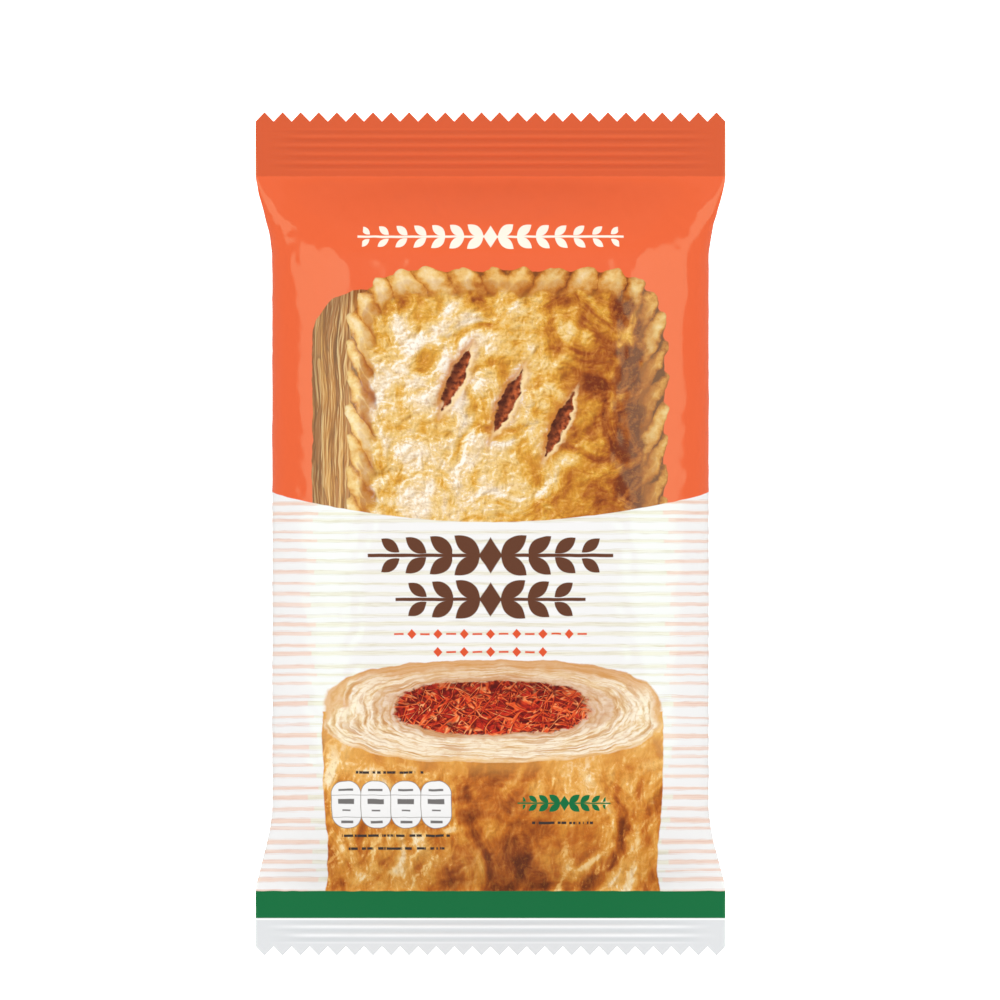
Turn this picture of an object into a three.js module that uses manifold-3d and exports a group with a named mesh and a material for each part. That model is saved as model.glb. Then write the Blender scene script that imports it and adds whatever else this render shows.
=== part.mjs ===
// A flow-wrapped pastry pack, sealed and puffed up, lying on its back with its printed front up.
// It is one tube of film: a pillow-shaped body, a crimped seal with a zigzag cut at each end,
// and a back seam folded flat against the underside. It can't be seen into, so it is solid.
// Millimetres, +Z up, the head of the pack towards +Y. The origin is on the table under its middle.

import * as THREE from 'three';
import { mergeVertices } from 'three/addons/utils/BufferGeometryUtils.js';
import Module from 'manifold-3d';

// The pack as a whole
const FILM_WIDTH = 110; // side fold to side fold where the film is pressed flat
const PACK_LENGTH = 197.5; // tooth tips at the head to tooth tips at the foot
const SEAL_LEVEL = 11.5; // height of the end seals above the table
const CROWN = 16; // how far the front bulges above the seals
const BELLY = 14.5; // how far the back would bulge below them if no table flattened it
const SIDE_DRAW = 3.9; // how far the puffed body pulls each side fold in
const SIDE_EASE = 1.1; // above 1, the side folds start to come in more gently than the pack thickens

// End seals
const HEAD_SEAL = 15; // tooth tips to the start of the puffed body
const FOOT_SEAL = 15.2;
const SHEET = 0.8; // both films pressed together, with their crimp
const TEETH = 26;
const TOOTH_DEPTH = 2.2;
const RIDGE_PITCH = 2.02;
const RIDGE_HEIGHT = 0.3;
const HEAD_RIDGES = { from: 4.7, count: 4 }; // measured from the tooth tips
const FOOT_RIDGES = { from: 3.8, count: 2 };
const SEAL_WAVE = 0.5; // slow wave of the seals across the pack
const SEAL_WAVE_LENGTH = 74;
const SEAL_CURL = 1.2; // how far the tooth tips curl up

// Shoulders, where the flat seal opens into the body
const SHOULDER_RUN = 20.5;
const SHOULDER_EASE = 1.25; // above 1, the film leaves the seal more gently
const LENS_RUN = 30; // sides are slimmer near the seal and round off over this run
const LENS_POWER = 0.65; // section power at the seal
const ROUND_POWER = 0.5; // section power of the body, an ellipse
const CROWN_FALL = 0.07; // share of the crown lost towards the shoulders

// Pleats that run from each seal into the body
const PLEATS = 9;
const PLEAT_DEPTH = 0.4;
const PLEAT_WIDTH = 4.2;
const PLEAT_REACH = 9;
const PLEAT_LEAN = 0.34; // how much the outer pleats turn towards the middle

// Back seam, a strip folded over to one side
const SEAM_ROOT = -1;
const SEAM_EDGE = 10;
const SEAM_THICKNESS = 0.6;
const SEAM_IN_SEAL = 0.25; // what still shows of it where the end seals press it
const SEAM_ROOF = 8; // how far the back film stands off the table beside the seam
const SEAM_BURIED = 0.4;

// Mesh
const COLUMNS = 32;
const SHOULDER_ROWS = 11;
const BODY_ROWS = 13;
const EDGE_CROWDING = 0.75; // how far the columns crowd towards the side folds
const OVERRUN = 0.5; // film past the tooth tips, which the zigzag cut takes off

const HEAD_TIP = PACK_LENGTH / 2;
const FOOT_TIP = -PACK_LENGTH / 2;
const HEAD_LINE = HEAD_TIP - HEAD_SEAL;
const FOOT_LINE = FOOT_TIP + FOOT_SEAL;

const wasm = await Module();
wasm.setup();

const clamp01 = (t) => Math.min(1, Math.max(0, t));
const smooth = (t) => clamp01(t) ** 2 * (3 - 2 * clamp01(t));
const mix = (a, b, t) => a + (b - a) * t;

// A repeatable value from 0 to 1 for pleat number `i`, drawn by `salt`.
function scatter(i, salt) {
  const wide = Math.sin(i * 12.9898 + salt * 78.233) * 43758.5453;
  return wide - Math.floor(wide);
}

// How far into the puffed body y is, from the nearer seal. It is negative in a seal.
const insetAt = (y) => Math.min(HEAD_LINE - y, y - FOOT_LINE);

// Share of its full thickness that the pack has at an inset.
const riseAt = (inset) => Math.sin((clamp01(inset / SHOULDER_RUN) * Math.PI) / 2) ** SHOULDER_EASE;

// The girth is the film's own everywhere, so the sides come in as the pack thickens.
const halfWidthAt = (y) => FILM_WIDTH / 2 - SIDE_DRAW * riseAt(insetAt(y)) ** SIDE_EASE;

// The bulge of one film over the seal plane, as a share of its height on the centre line.
function bulgeAt(x, y) {
  const across = clamp01(Math.abs(x) / halfWidthAt(y));
  const power = mix(LENS_POWER, ROUND_POWER, smooth(insetAt(y) / LENS_RUN));
  return riseAt(insetAt(y)) * (1 - across ** 2) ** power;
}

// Depth of the pleats at a place. `salt` tells the two ends and the two films apart.
function pleatsAt(x, y, salt) {
  const inset = insetAt(y);
  if (inset <= 0) return 0;
  const end = salt + (y > 0 ? 0 : 4);
  let depth = 0;
  for (let i = 0; i < PLEATS; i++) {
    const place = ((i + 0.2 + 0.6 * scatter(i, end)) / PLEATS) * 2 - 1;
    const reach = PLEAT_REACH * mix(0.55, 1.5, scatter(i, end + 1));
    const width = PLEAT_WIDTH * mix(0.75, 1.25, scatter(i, end + 2));
    const centre = place * (FILM_WIDTH / 2 - PLEAT_LEAN * inset);
    const along = (inset / reach) * Math.exp(1 - inset / reach);
    depth += PLEAT_DEPTH * along * Math.exp(-(((x - centre) / width) ** 2));
  }
  const towardsFold = 1 - clamp01(Math.abs(x) / halfWidthAt(y)) ** 6;
  return depth * towardsFold;
}

// Corrugation of both films in a seal's crimp, at a distance from its tooth tips.
function crimpAt(fromTip, ridges) {
  const turns = (fromTip - ridges.from) / RIDGE_PITCH;
  if (turns < 0 || turns > ridges.count) return 0;
  return (RIDGE_HEIGHT * (1 - Math.cos(2 * Math.PI * turns))) / 2;
}

// Height of the seal plane: the crimp, the curl and the slow wave of the two seals.
function planeAt(x, y) {
  const head = y > 0;
  const fromTip = head ? HEAD_TIP - y : y - FOOT_TIP;
  const depth = head ? HEAD_SEAL : FOOT_SEAL;
  const outward = clamp01(1 - fromTip / depth);
  const phase = head ? 0.4 : 2.6;
  const wave = SEAL_WAVE * Math.sin((2 * Math.PI * x) / SEAL_WAVE_LENGTH + phase) * outward;
  const crimp = crimpAt(fromTip, head ? HEAD_RIDGES : FOOT_RIDGES);
  return SEAL_LEVEL + SEAL_CURL * outward ** 2 + wave + crimp;
}

function frontAt(x, y) {
  const fall = 1 - CROWN_FALL * (y / HEAD_LINE) ** 2;
  return planeAt(x, y) + SHEET / 2 + CROWN * fall * bulgeAt(x, y) - pleatsAt(x, y, 0);
}

// The back film lies on the table, and on the seam where that is under it.
function backAt(x, y) {
  const free = planeAt(x, y) - SHEET / 2 - BELLY * bulgeAt(x, y) + pleatsAt(x, y, 2);
  const besideSeam = Math.max(SEAM_ROOT - x, x - SEAM_EDGE, 0);
  return Math.max(free, SEAM_THICKNESS * (1 - smooth(besideSeam / SEAM_ROOF)));
}

const seamThicknessAt = (y) => mix(SEAM_IN_SEAL, SEAM_THICKNESS, smooth(insetAt(y) / 6));

// Where the rows of points cross the pack, from foot to head.
function rowPlaces() {
  const rows = [FOOT_TIP - OVERRUN];
  const crimp = (ridges, place) => {
    for (let half = 0; half <= 2 * ridges.count; half++) {
      rows.push(place(ridges.from + (half * RIDGE_PITCH) / 2));
    }
  };
  const shoulder = (place) => {
    for (let k = 0; k < SHOULDER_ROWS; k++) rows.push(place(SHOULDER_RUN * (k / SHOULDER_ROWS) ** 1.3));
  };
  crimp(FOOT_RIDGES, (d) => FOOT_TIP + d);
  shoulder((d) => FOOT_LINE + d);
  const from = FOOT_LINE + SHOULDER_RUN;
  const to = HEAD_LINE - SHOULDER_RUN;
  for (let k = 0; k <= BODY_ROWS; k++) rows.push(mix(from, to, k / BODY_ROWS));
  shoulder((d) => HEAD_LINE - d);
  crimp(HEAD_RIDGES, (d) => HEAD_TIP - d);
  rows.push(HEAD_TIP + OVERRUN);
  return rows.sort((a, b) => a - b);
}

// A closed solid between an upper and a lower height over the same grid of places.
function slab(rows, columns, xAt, upper, lower) {
  const points = [];
  const faces = [];
  const across = columns + 1;
  const layer = rows.length * across;
  for (const height of [upper, lower]) {
    for (const y of rows) {
      for (let i = 0; i <= columns; i++) {
        const x = xAt(i, y);
        points.push(x, y, height(x, y));
      }
    }
  }
  const quad = (a, b, c, d) => faces.push(a, b, c, a, c, d);
  for (let j = 0; j < rows.length - 1; j++) {
    for (let i = 0; i < columns; i++) {
      const a = j * across + i;
      quad(a, a + 1, a + 1 + across, a + across);
      quad(layer + a, layer + a + across, layer + a + 1 + across, layer + a + 1);
    }
    const left = j * across;
    const right = left + columns;
    quad(left, left + across, layer + left + across, layer + left);
    quad(right, layer + right, layer + right + across, right + across);
  }
  const last = (rows.length - 1) * across;
  for (let i = 0; i < columns; i++) {
    quad(i, layer + i, layer + i + 1, i + 1);
    quad(last + i, last + i + 1, layer + last + i + 1, layer + last + i);
  }
  const geometry = new THREE.BufferGeometry();
  geometry.setAttribute('position', new THREE.Float32BufferAttribute(points, 3));
  geometry.setIndex(faces);
  return solidOf(geometry);
}

function solidOf(geometry) {
  const bare = geometry.clone();
  bare.deleteAttribute('normal');
  bare.deleteAttribute('uv');
  const merged = mergeVertices(bare, 1e-4);
  return new wasm.Manifold(
    new wasm.Mesh({
      numProp: 3,
      vertProperties: merged.attributes.position.array,
      triVerts: new Uint32Array(merged.index.array),
    }),
  );
}

function geometryOf(solid) {
  const mesh = solid.getMesh();
  const geometry = new THREE.BufferGeometry();
  geometry.setAttribute('position', new THREE.BufferAttribute(mesh.vertProperties, 3));
  geometry.setIndex(new THREE.BufferAttribute(mesh.triVerts, 1));
  geometry.computeVertexNormals();
  return geometry;
}

// The film tube from tip line to tip line, before the zigzag cut.
function pillow(rows) {
  const xAt = (i, y) => {
    const u = (2 * i) / COLUMNS - 1;
    return halfWidthAt(y) * mix(u, Math.sin((Math.PI / 2) * u), EDGE_CROWDING);
  };
  return slab(rows, COLUMNS, xAt, frontAt, backAt);
}

// The back seam's strip, buried a little in the back film so that the two fuse.
function seam(rows) {
  const strips = 3;
  const xAt = (i) => mix(SEAM_ROOT, SEAM_EDGE, i / strips);
  return slab(
    rows,
    strips,
    xAt,
    (x, y) => backAt(x, y) + SEAM_BURIED,
    (x, y) => backAt(x, y) - seamThicknessAt(y),
  );
}

// What the zigzag knife takes off one end: a comb with its teeth between the pack's teeth.
function zigzagWaste(sign) {
  const pitch = FILM_WIDTH / TEETH;
  const tip = PACK_LENGTH / 2;
  const outline = new THREE.Shape();
  outline.moveTo(-FILM_WIDTH / 2 - pitch, tip + TOOTH_DEPTH);
  outline.lineTo(-FILM_WIDTH / 2 - pitch, tip - TOOTH_DEPTH);
  for (let k = 0; k <= TEETH; k++) {
    const valley = -FILM_WIDTH / 2 + k * pitch;
    outline.lineTo(valley, tip - TOOTH_DEPTH);
    if (k < TEETH) outline.lineTo(valley + pitch / 2, tip);
  }
  outline.lineTo(FILM_WIDTH / 2 + pitch, tip - TOOTH_DEPTH);
  outline.lineTo(FILM_WIDTH / 2 + pitch, tip + TOOTH_DEPTH);
  const depth = SEAL_LEVEL * 2 + CROWN;
  const comb = new THREE.ExtrudeGeometry(outline, { depth, bevelEnabled: false });
  if (sign < 0) comb.rotateZ(Math.PI);
  return solidOf(comb);
}

function packFilm() {
  const rows = rowPlaces();
  const tube = pillow(rows).add(seam(rows));
  return tube.subtract(zigzagWaste(1)).subtract(zigzagWaste(-1));
}

const film = new THREE.MeshStandardMaterial({
  name: 'printed_film',
  color: new THREE.Color(0xeb6a3f),
  roughness: 0.3,
  metalness: 0,
});

const pack = new THREE.Mesh(geometryOf(packFilm()), film);
pack.name = 'film_pack';

const group = new THREE.Group();
group.add(pack);

export default group;
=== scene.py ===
"""A shut flow-wrapped pastry pack, lying on its back with its printed front up.

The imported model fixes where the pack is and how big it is. This script makes what shows: the printed
film with its crimped seals, pleats and slack, the back seam folded flat, and the studio around them.
"""

import logging
import math
from dataclasses import dataclass
from enum import Enum
from typing import Mapping, Protocol, Sequence, Union

import bpy
import numpy as np
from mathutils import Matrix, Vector


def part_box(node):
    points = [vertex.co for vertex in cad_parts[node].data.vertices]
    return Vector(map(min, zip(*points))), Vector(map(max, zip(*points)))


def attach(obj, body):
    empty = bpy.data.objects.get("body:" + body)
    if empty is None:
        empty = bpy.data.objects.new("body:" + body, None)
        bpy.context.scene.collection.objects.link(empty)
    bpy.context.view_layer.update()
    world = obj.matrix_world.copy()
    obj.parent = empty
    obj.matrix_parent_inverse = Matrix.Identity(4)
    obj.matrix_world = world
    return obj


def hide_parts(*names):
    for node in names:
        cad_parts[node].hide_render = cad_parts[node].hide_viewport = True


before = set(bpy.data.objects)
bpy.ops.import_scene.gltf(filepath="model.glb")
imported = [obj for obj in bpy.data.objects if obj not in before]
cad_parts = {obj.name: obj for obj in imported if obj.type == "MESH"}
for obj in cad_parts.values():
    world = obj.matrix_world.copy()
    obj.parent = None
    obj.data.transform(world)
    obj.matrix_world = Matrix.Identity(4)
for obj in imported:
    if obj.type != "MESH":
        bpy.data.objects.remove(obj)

LOG = logging.getLogger("pastry_pack")

MM = 0.001
BODY = "root"
FILM_NODE = "film_pack"
FILM_MAP = "film"
BAKE_MAP = "OFBake"

# Where each part of the print lies in the film map, which is in millimetres.
BACK_OFFSET = 200.0
SEAM_OFFSET = 400.0
SEAM_MAP_WIDTH = 11.0
ZONE_SPLIT = 0.6

# How wide a narrow wall is in the bake map, and from what angle on an edge is sharp.
WALL_MAP_WIDTH = 0.006
SHARP_EDGE = math.radians(60.0)

# How much of the light a white ink would throw back.
INK_LEVEL = 0.88

WHITE_LIGHT = (1.0, 1.0, 1.0)


class Side(Enum):
    """The two films of the tube."""

    FRONT = 1
    BACK = -1


class Zone(Enum):
    """The parts of the print, each with a material of its own."""

    HEAD = 0
    FOOT = 1
    BACK = 2


class End(Enum):
    """The two sealed ends of the pack."""

    HEAD = 1
    FOOT = -1


def smooth(share: np.ndarray) -> np.ndarray:
    """Return a share held from 0 to 1 and eased at both ends."""
    held = np.clip(share, 0.0, 1.0)
    return held * held * (3.0 - 2.0 * held)


def placed(name: str, data: bpy.types.ID) -> bpy.types.Object:
    """Return a new object with its data, in the scene.

    Args:
        name: The object's name.
        data: Its mesh, light or camera.

    Returns:
        The object, linked to the scene.
    """
    made = bpy.data.objects.new(name, data)
    bpy.context.scene.collection.objects.link(made)
    return made


@dataclass(frozen=True)
class Spread:
    """A range over which a value is scattered repeatably."""

    low: float
    span: float
    index_step: float = 12.9898
    salt_step: float = 78.233
    gain: float = 43758.5453

    def at(self, index: int, salt: int) -> float:
        """Return the value of one pleat."""
        wide = math.sin(index * self.index_step + salt * self.salt_step) * self.gain
        return self.low + self.span * (wide - math.floor(wide))


@dataclass(frozen=True)
class Crimp:
    """The pressed ridges of one end seal, in millimetres from its tooth tips."""

    start: float
    ridges: int
    pitch: float = 2.02
    height: float = 0.3

    def profile(self, from_tip: np.ndarray) -> np.ndarray:
        """Return the corrugation's height at distances from the tooth tips.

        Args:
            from_tip: Distances from the tooth tips.

        Returns:
            The heights over the seal plane.
        """
        turns = (from_tip - self.start) / self.pitch
        wave = self.height * (1.0 - np.cos(2.0 * math.pi * turns)) / 2.0
        return np.where((turns >= 0.0) & (turns <= self.ridges), wave, 0.0)


@dataclass(frozen=True)
class EndSeal:
    """One end seal: how deep it is, its ridges and where its slow wave starts, in radians."""

    depth: float
    crimp: Crimp
    phase: float


@dataclass(frozen=True)
class Pillow:
    """The form of the film: a flat tube, puffed between its two end seals. Millimetres."""

    width: float
    length: float
    seal_level: float = 11.5
    crown: float = 16.0
    belly: float = 14.5
    side_draw: float = 3.9
    side_ease: float = 1.1
    head: EndSeal = EndSeal(15.0, Crimp(start=4.7, ridges=4), 0.4)
    foot: EndSeal = EndSeal(15.2, Crimp(start=3.8, ridges=2), 2.6)
    sheet: float = 0.4
    sheet_taper: float = 0.6
    shoulder_run: float = 20.5
    shoulder_ease: float = 1.25
    lens_run: float = 30.0
    lens_power: float = 0.65
    round_power: float = 0.5
    crown_fall: float = 0.07
    pleats: int = 9
    pleat_depth: float = 0.4
    pleat_width: float = 4.2
    pleat_reach: float = 9.0
    pleat_lean: float = 0.34
    place_spread: Spread = Spread(0.2, 0.6)
    reach_spread: Spread = Spread(0.55, 0.95)
    width_spread: Spread = Spread(0.75, 0.5)
    seal_wave: float = 0.5
    seal_wave_length: float = 74.0
    seal_curl: float = 1.2
    crimp_fade: float = 9.0
    crimp_margin: float = 0.9
    seam_root: float = -1.0
    seam_edge: float = 10.0
    seam_thickness: float = 0.6
    seam_roof: float = 8.0
    section_samples: int = 401

    @property
    def head_line(self) -> float:
        """Return where the head seal opens into the body."""
        return self.length / 2.0 - self.head.depth

    @property
    def foot_line(self) -> float:
        """Return where the foot seal opens into the body."""
        return -self.length / 2.0 + self.foot.depth

    def seal(self, end: End) -> EndSeal:
        """Return the seal of one end."""
        return self.head if end is End.HEAD else self.foot

    def inset(self, y: np.ndarray) -> np.ndarray:
        """Return how far into the puffed body a place is. It is negative in a seal."""
        return np.minimum(self.head_line - y, y - self.foot_line)

    def rise(self, y: np.ndarray) -> np.ndarray:
        """Return the share of its full thickness that the pack has."""
        share = np.clip(self.inset(y) / self.shoulder_run, 0.0, 1.0)
        return np.sin(share * math.pi / 2.0) ** self.shoulder_ease

    def half_width(self, y: np.ndarray) -> np.ndarray:
        """Return half the pack's width, which shrinks as the girth goes into thickness."""
        return self.width / 2.0 - self.side_draw * self.rise(y) ** self.side_ease

    def bulge(self, x: np.ndarray, y: np.ndarray) -> np.ndarray:
        """Return a film's bulge as a share of its height on the centre line.

        Args:
            x: Places across the pack.
            y: Places along the pack.

        Returns:
            The shares, which are 0 in the seals and at the side folds.
        """
        across = np.clip(np.abs(x) / self.half_width(y), 0.0, 1.0)
        eased = smooth(self.inset(y) / self.lens_run)
        power = self.lens_power + (self.round_power - self.lens_power) * eased
        return self.rise(y) * (1.0 - across**2) ** power

    def pleat_relief(self, x: np.ndarray, y: np.ndarray, side: Side) -> np.ndarray:
        """Return the depth of the pleats that run from the seals into the body.

        Args:
            x: Places across the pack.
            y: Places along the pack.
            side: The film that is pleated.

        Returns:
            How far the pleats press the film in.
        """
        inset = self.inset(y)
        held = np.maximum(inset, 0.0)
        depth = np.zeros(np.broadcast(x, y).shape)
        for end in End:
            salt = (0 if side is Side.FRONT else 2) + (0 if end is End.HEAD else 4)
            at_end = (y * end.value > 0.0) & (inset > 0.0)
            for index in range(self.pleats):
                place = (index + self.place_spread.at(index, salt)) / self.pleats * 2.0 - 1.0
                reach = self.pleat_reach * self.reach_spread.at(index, salt + 1)
                width = self.pleat_width * self.width_spread.at(index, salt + 2)
                centre = place * (self.width / 2.0 - self.pleat_lean * held)
                along = held / reach * np.exp(1.0 - held / reach)
                depth += np.where(at_end, along * np.exp(-(((x - centre) / width) ** 2)), 0.0)
        across = np.clip(np.abs(x) / self.half_width(y), 0.0, 1.0)
        return self.pleat_depth * depth * (1.0 - across**6)

    def plane(self, x: np.ndarray, y: np.ndarray) -> np.ndarray:
        """Return the height of the seal plane, with its crimp, curl and slow wave.

        Args:
            x: Places across the pack.
            y: Places along the pack.

        Returns:
            The heights over the table.
        """
        height = np.full(np.broadcast(x, y).shape, self.seal_level)
        from_side = self.width / 2.0 - np.abs(x) - self.crimp_margin
        fade = smooth(from_side / self.crimp_fade)
        for end in End:
            seal = self.seal(end)
            from_tip = self.length / 2.0 - end.value * y
            outward = np.clip(1.0 - from_tip / seal.depth, 0.0, 1.0)
            wave = np.sin(2.0 * math.pi * x / self.seal_wave_length + seal.phase) * outward
            pressed = seal.crimp.profile(from_tip) * fade
            height = height + self.seal_curl * outward**2 + self.seal_wave * wave + pressed
        return height

    def resting(self, x: np.ndarray) -> np.ndarray:
        """Return the lowest that the back film can lie: on the table, or on the seam."""
        beside = np.maximum(np.maximum(self.seam_root - x, x - self.seam_edge), 0.0)
        return self.seam_thickness * (1.0 - smooth(beside / self.seam_roof))

    def height(self, x: np.ndarray, y: np.ndarray, side: Side) -> np.ndarray:
        """Return the height of one film over the table.

        Args:
            x: Places across the pack.
            y: Places along the pack.
            side: The film that is meant.

        Returns:
            The heights, in millimetres.
        """
        taper = np.clip((self.half_width(y) - np.abs(x)) / self.sheet_taper, 0.0, 1.0)
        half_sheet = self.sheet / 2.0 * taper
        plane = self.plane(x, y)
        relief = self.pleat_relief(x, y, side)
        if side is Side.FRONT:
            fall = 1.0 - self.crown_fall * (y / self.head_line) ** 2
            return plane + half_sheet + self.crown * fall * self.bulge(x, y) - relief
        free = plane - half_sheet - self.belly * self.bulge(x, y) + relief
        return np.maximum(free, self.resting(x))

    def columns(self, y: float, count: int, side: Side) -> np.ndarray:
        """Return x of the points that part one film's section into equal lengths.

        Args:
            y: Where the section is taken.
            count: How many parts the section has.
            side: The film that is meant.

        Returns:
            The places from the left side fold to the right one, count + 1 of them.
        """
        turn = np.linspace(-math.pi / 2.0, math.pi / 2.0, self.section_samples)
        x = self.half_width(y) * np.sin(turn)
        if side is Side.FRONT:
            z = self.crown * self.bulge(x, y)
        else:
            z = np.maximum(self.seal_level - self.belly * self.bulge(x, y), self.resting(x))
        run = np.concatenate([[0.0], np.cumsum(np.hypot(np.diff(x), np.diff(z)))])
        return np.interp(np.linspace(0.0, run[-1], count + 1), run, x)


@dataclass
class FilmSlack:
    """The small creases that the puffed film settles into, found by cloth simulation."""

    pillow: Pillow
    step: float = 1.75
    seal_margin: float = 3.0
    frames: int = 25
    side_surplus: float = 0.032
    middle_surplus: float = 0.01
    surplus_reach: float = 48.0
    middle_share: float = 0.12
    pinned_under: float = 0.5
    tether: float = 0.05
    jitter: float = 0.04
    seed: int = 3

    def rows(self) -> np.ndarray:
        """Return where the net's rows cross the pack.

        Returns:
            Places along the pack, from one seal to the other.
        """
        start = self.pillow.foot_line - self.seal_margin
        end = self.pillow.head_line + self.seal_margin
        return np.linspace(start, end, round((end - start) / self.step) + 1)

    def ring(self) -> int:
        """Return how many points one row of the net has round the tube."""
        return 2 * round(self.pillow.width / self.step)

    def net(self, rows: np.ndarray) -> np.ndarray:
        """Return the net's points on the smooth form, as rows by ring by xyz.

        Args:
            rows: Where the net's rows cross the pack.

        Returns:
            The points, in millimetres.
        """
        half = self.ring() // 2
        points = np.zeros((len(rows), 2 * half, 3))
        for place, y in enumerate(rows):
            front = self.pillow.columns(y, half, Side.FRONT)[:-1]
            back = self.pillow.columns(y, half, Side.BACK)[::-1][:-1]
            for start, x, side in ((0, front, Side.FRONT), (half, back, Side.BACK)):
                part = points[place, start : start + half]
                part[:, 0] = x
                part[:, 1] = y
                part[:, 2] = self.pillow.height(x, np.full_like(x, y), side)
        return points

    def unstrained(self, points: np.ndarray) -> np.ndarray:
        """Return the net as long as the flat film is, which is more than the sides have room for.

        Args:
            points: The net's points on the smooth form.

        Returns:
            The same points, spread out along the pack.
        """
        rest = points.copy()
        y = points[:, 0, 1]
        inset = self.pillow.inset(y)
        shoulder = 1.0 - smooth(inset / self.surplus_reach)
        gain = self.middle_surplus + (self.side_surplus - self.middle_surplus) * shoulder
        gain = np.where(inset > 0.0, gain, 0.0)
        run = np.concatenate([[0.0], np.cumsum(np.diff(y) * (gain[1:] + gain[:-1]) / 2.0)])
        run -= run[-1] / 2.0
        across = np.abs(points[:, :, 0]) / self.pillow.half_width(y)[:, None]
        share = self.middle_share + (1.0 - self.middle_share) * across**3
        rest[:, :, 1] += run[:, None] * share
        return rest

    def settle(self) -> tuple[np.ndarray, np.ndarray]:
        """Run the simulation.

        Returns:
            The rows of the net, and how far each of its points moved, as rows by ring by xyz.
        """
        rows = self.rows()
        start = self.net(rows)
        noise = np.random.default_rng(self.seed).normal(0.0, self.jitter, start.shape)
        pinned = self.pillow.inset(rows) < self.pinned_under
        noise[pinned] = 0.0
        ring = self.ring()
        index = np.arange(len(rows) * ring).reshape(len(rows), ring)
        quads = np.stack(
            [index[:-1], np.roll(index, -1, 1)[:-1], np.roll(index, -1, 1)[1:], index[1:]], axis=-1
        ).reshape(-1, 4)
        mesh = bpy.data.meshes.new("slack_net")
        mesh.from_pydata(((start + noise) * MM).reshape(-1, 3).tolist(), [], quads.tolist())
        net = placed("slack_net", mesh)
        net.shape_key_add(name="Basis")
        rest = net.shape_key_add(name="unstrained")
        rest.data.foreach_set("co", (self.unstrained(start) * MM).ravel())
        hold = net.vertex_groups.new(name="hold")
        hold.add(index[pinned].ravel().tolist(), 1.0, "REPLACE")
        hold.add(index[~pinned].ravel().tolist(), self.tether, "REPLACE")
        self.stiffen(net.modifiers.new("slack", "CLOTH"), hold.name, rest)
        for step in range(1, self.frames + 1):
            bpy.context.scene.frame_set(step)
        settled = net.evaluated_get(bpy.context.evaluated_depsgraph_get())
        found = np.zeros(len(mesh.vertices) * 3, np.float32)
        settled.data.vertices.foreach_get("co", found)
        bpy.context.scene.frame_set(1)
        bpy.data.objects.remove(net)
        bpy.data.meshes.remove(mesh)
        moved = found.astype(float).reshape(start.shape) / MM - start
        return rows, moved

    def stiffen(self, cloth: bpy.types.ClothModifier, hold: str, rest: bpy.types.ShapeKey) -> None:
        """Give the cloth the stiffness of thin film.

        Args:
            cloth: The modifier to set.
            hold: The vertex group that holds the net to the form.
            rest: The shape key with the film's own lengths.
        """
        settings = cloth.settings
        settings.quality = 8
        settings.mass = 0.01
        settings.air_damping = 1.0
        settings.tension_stiffness = 60.0
        settings.compression_stiffness = 60.0
        settings.shear_stiffness = 20.0
        settings.bending_model = "ANGULAR"
        settings.bending_stiffness = 0.5
        settings.tension_damping = 20.0
        settings.compression_damping = 20.0
        settings.shear_damping = 10.0
        settings.bending_damping = 2.0
        settings.vertex_group_mass = hold
        settings.pin_stiffness = 1.0
        settings.rest_shape_key = rest
        settings.effector_weights.gravity = 0.0
        cloth.collision_settings.use_collision = False


def cubic_weights(share: np.ndarray) -> list[np.ndarray]:
    """Return the weights of the four neighbours in a smooth curve through them.

    Args:
        share: How far a place is from the second neighbour to the third, from 0 to 1.

    Returns:
        The weights, in the neighbours' order.
    """
    square = share * share
    cube = square * share
    return [
        (-cube + 2.0 * square - share) / 2.0,
        (3.0 * cube - 5.0 * square + 2.0) / 2.0,
        (-3.0 * cube + 4.0 * square + share) / 2.0,
        (cube - square) / 2.0,
    ]


def sample_net(moved: np.ndarray, row: np.ndarray, turn: np.ndarray) -> np.ndarray:
    """Read a net of moves between its points.

    Args:
        moved: Moves as rows by ring by xyz, where the ring closes on itself.
        row: Where to read along the rows, in rows.
        turn: Where to read round the ring, in points.

    Returns:
        The moves, in the shape of row with xyz last.
    """
    last_row, ring = moved.shape[0] - 1, moved.shape[1]
    base_row = np.floor(row).astype(int)
    base_turn = np.floor(turn).astype(int)
    found = np.zeros(row.shape + (3,))
    for down, row_weight in enumerate(cubic_weights(row - base_row)):
        rows = np.clip(base_row + down - 1, 0, last_row)
        for over, turn_weight in enumerate(cubic_weights(turn - base_turn)):
            turns = (base_turn + over - 1) % ring
            found += moved[rows, turns] * (row_weight * turn_weight)[..., None]
    return found


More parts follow.
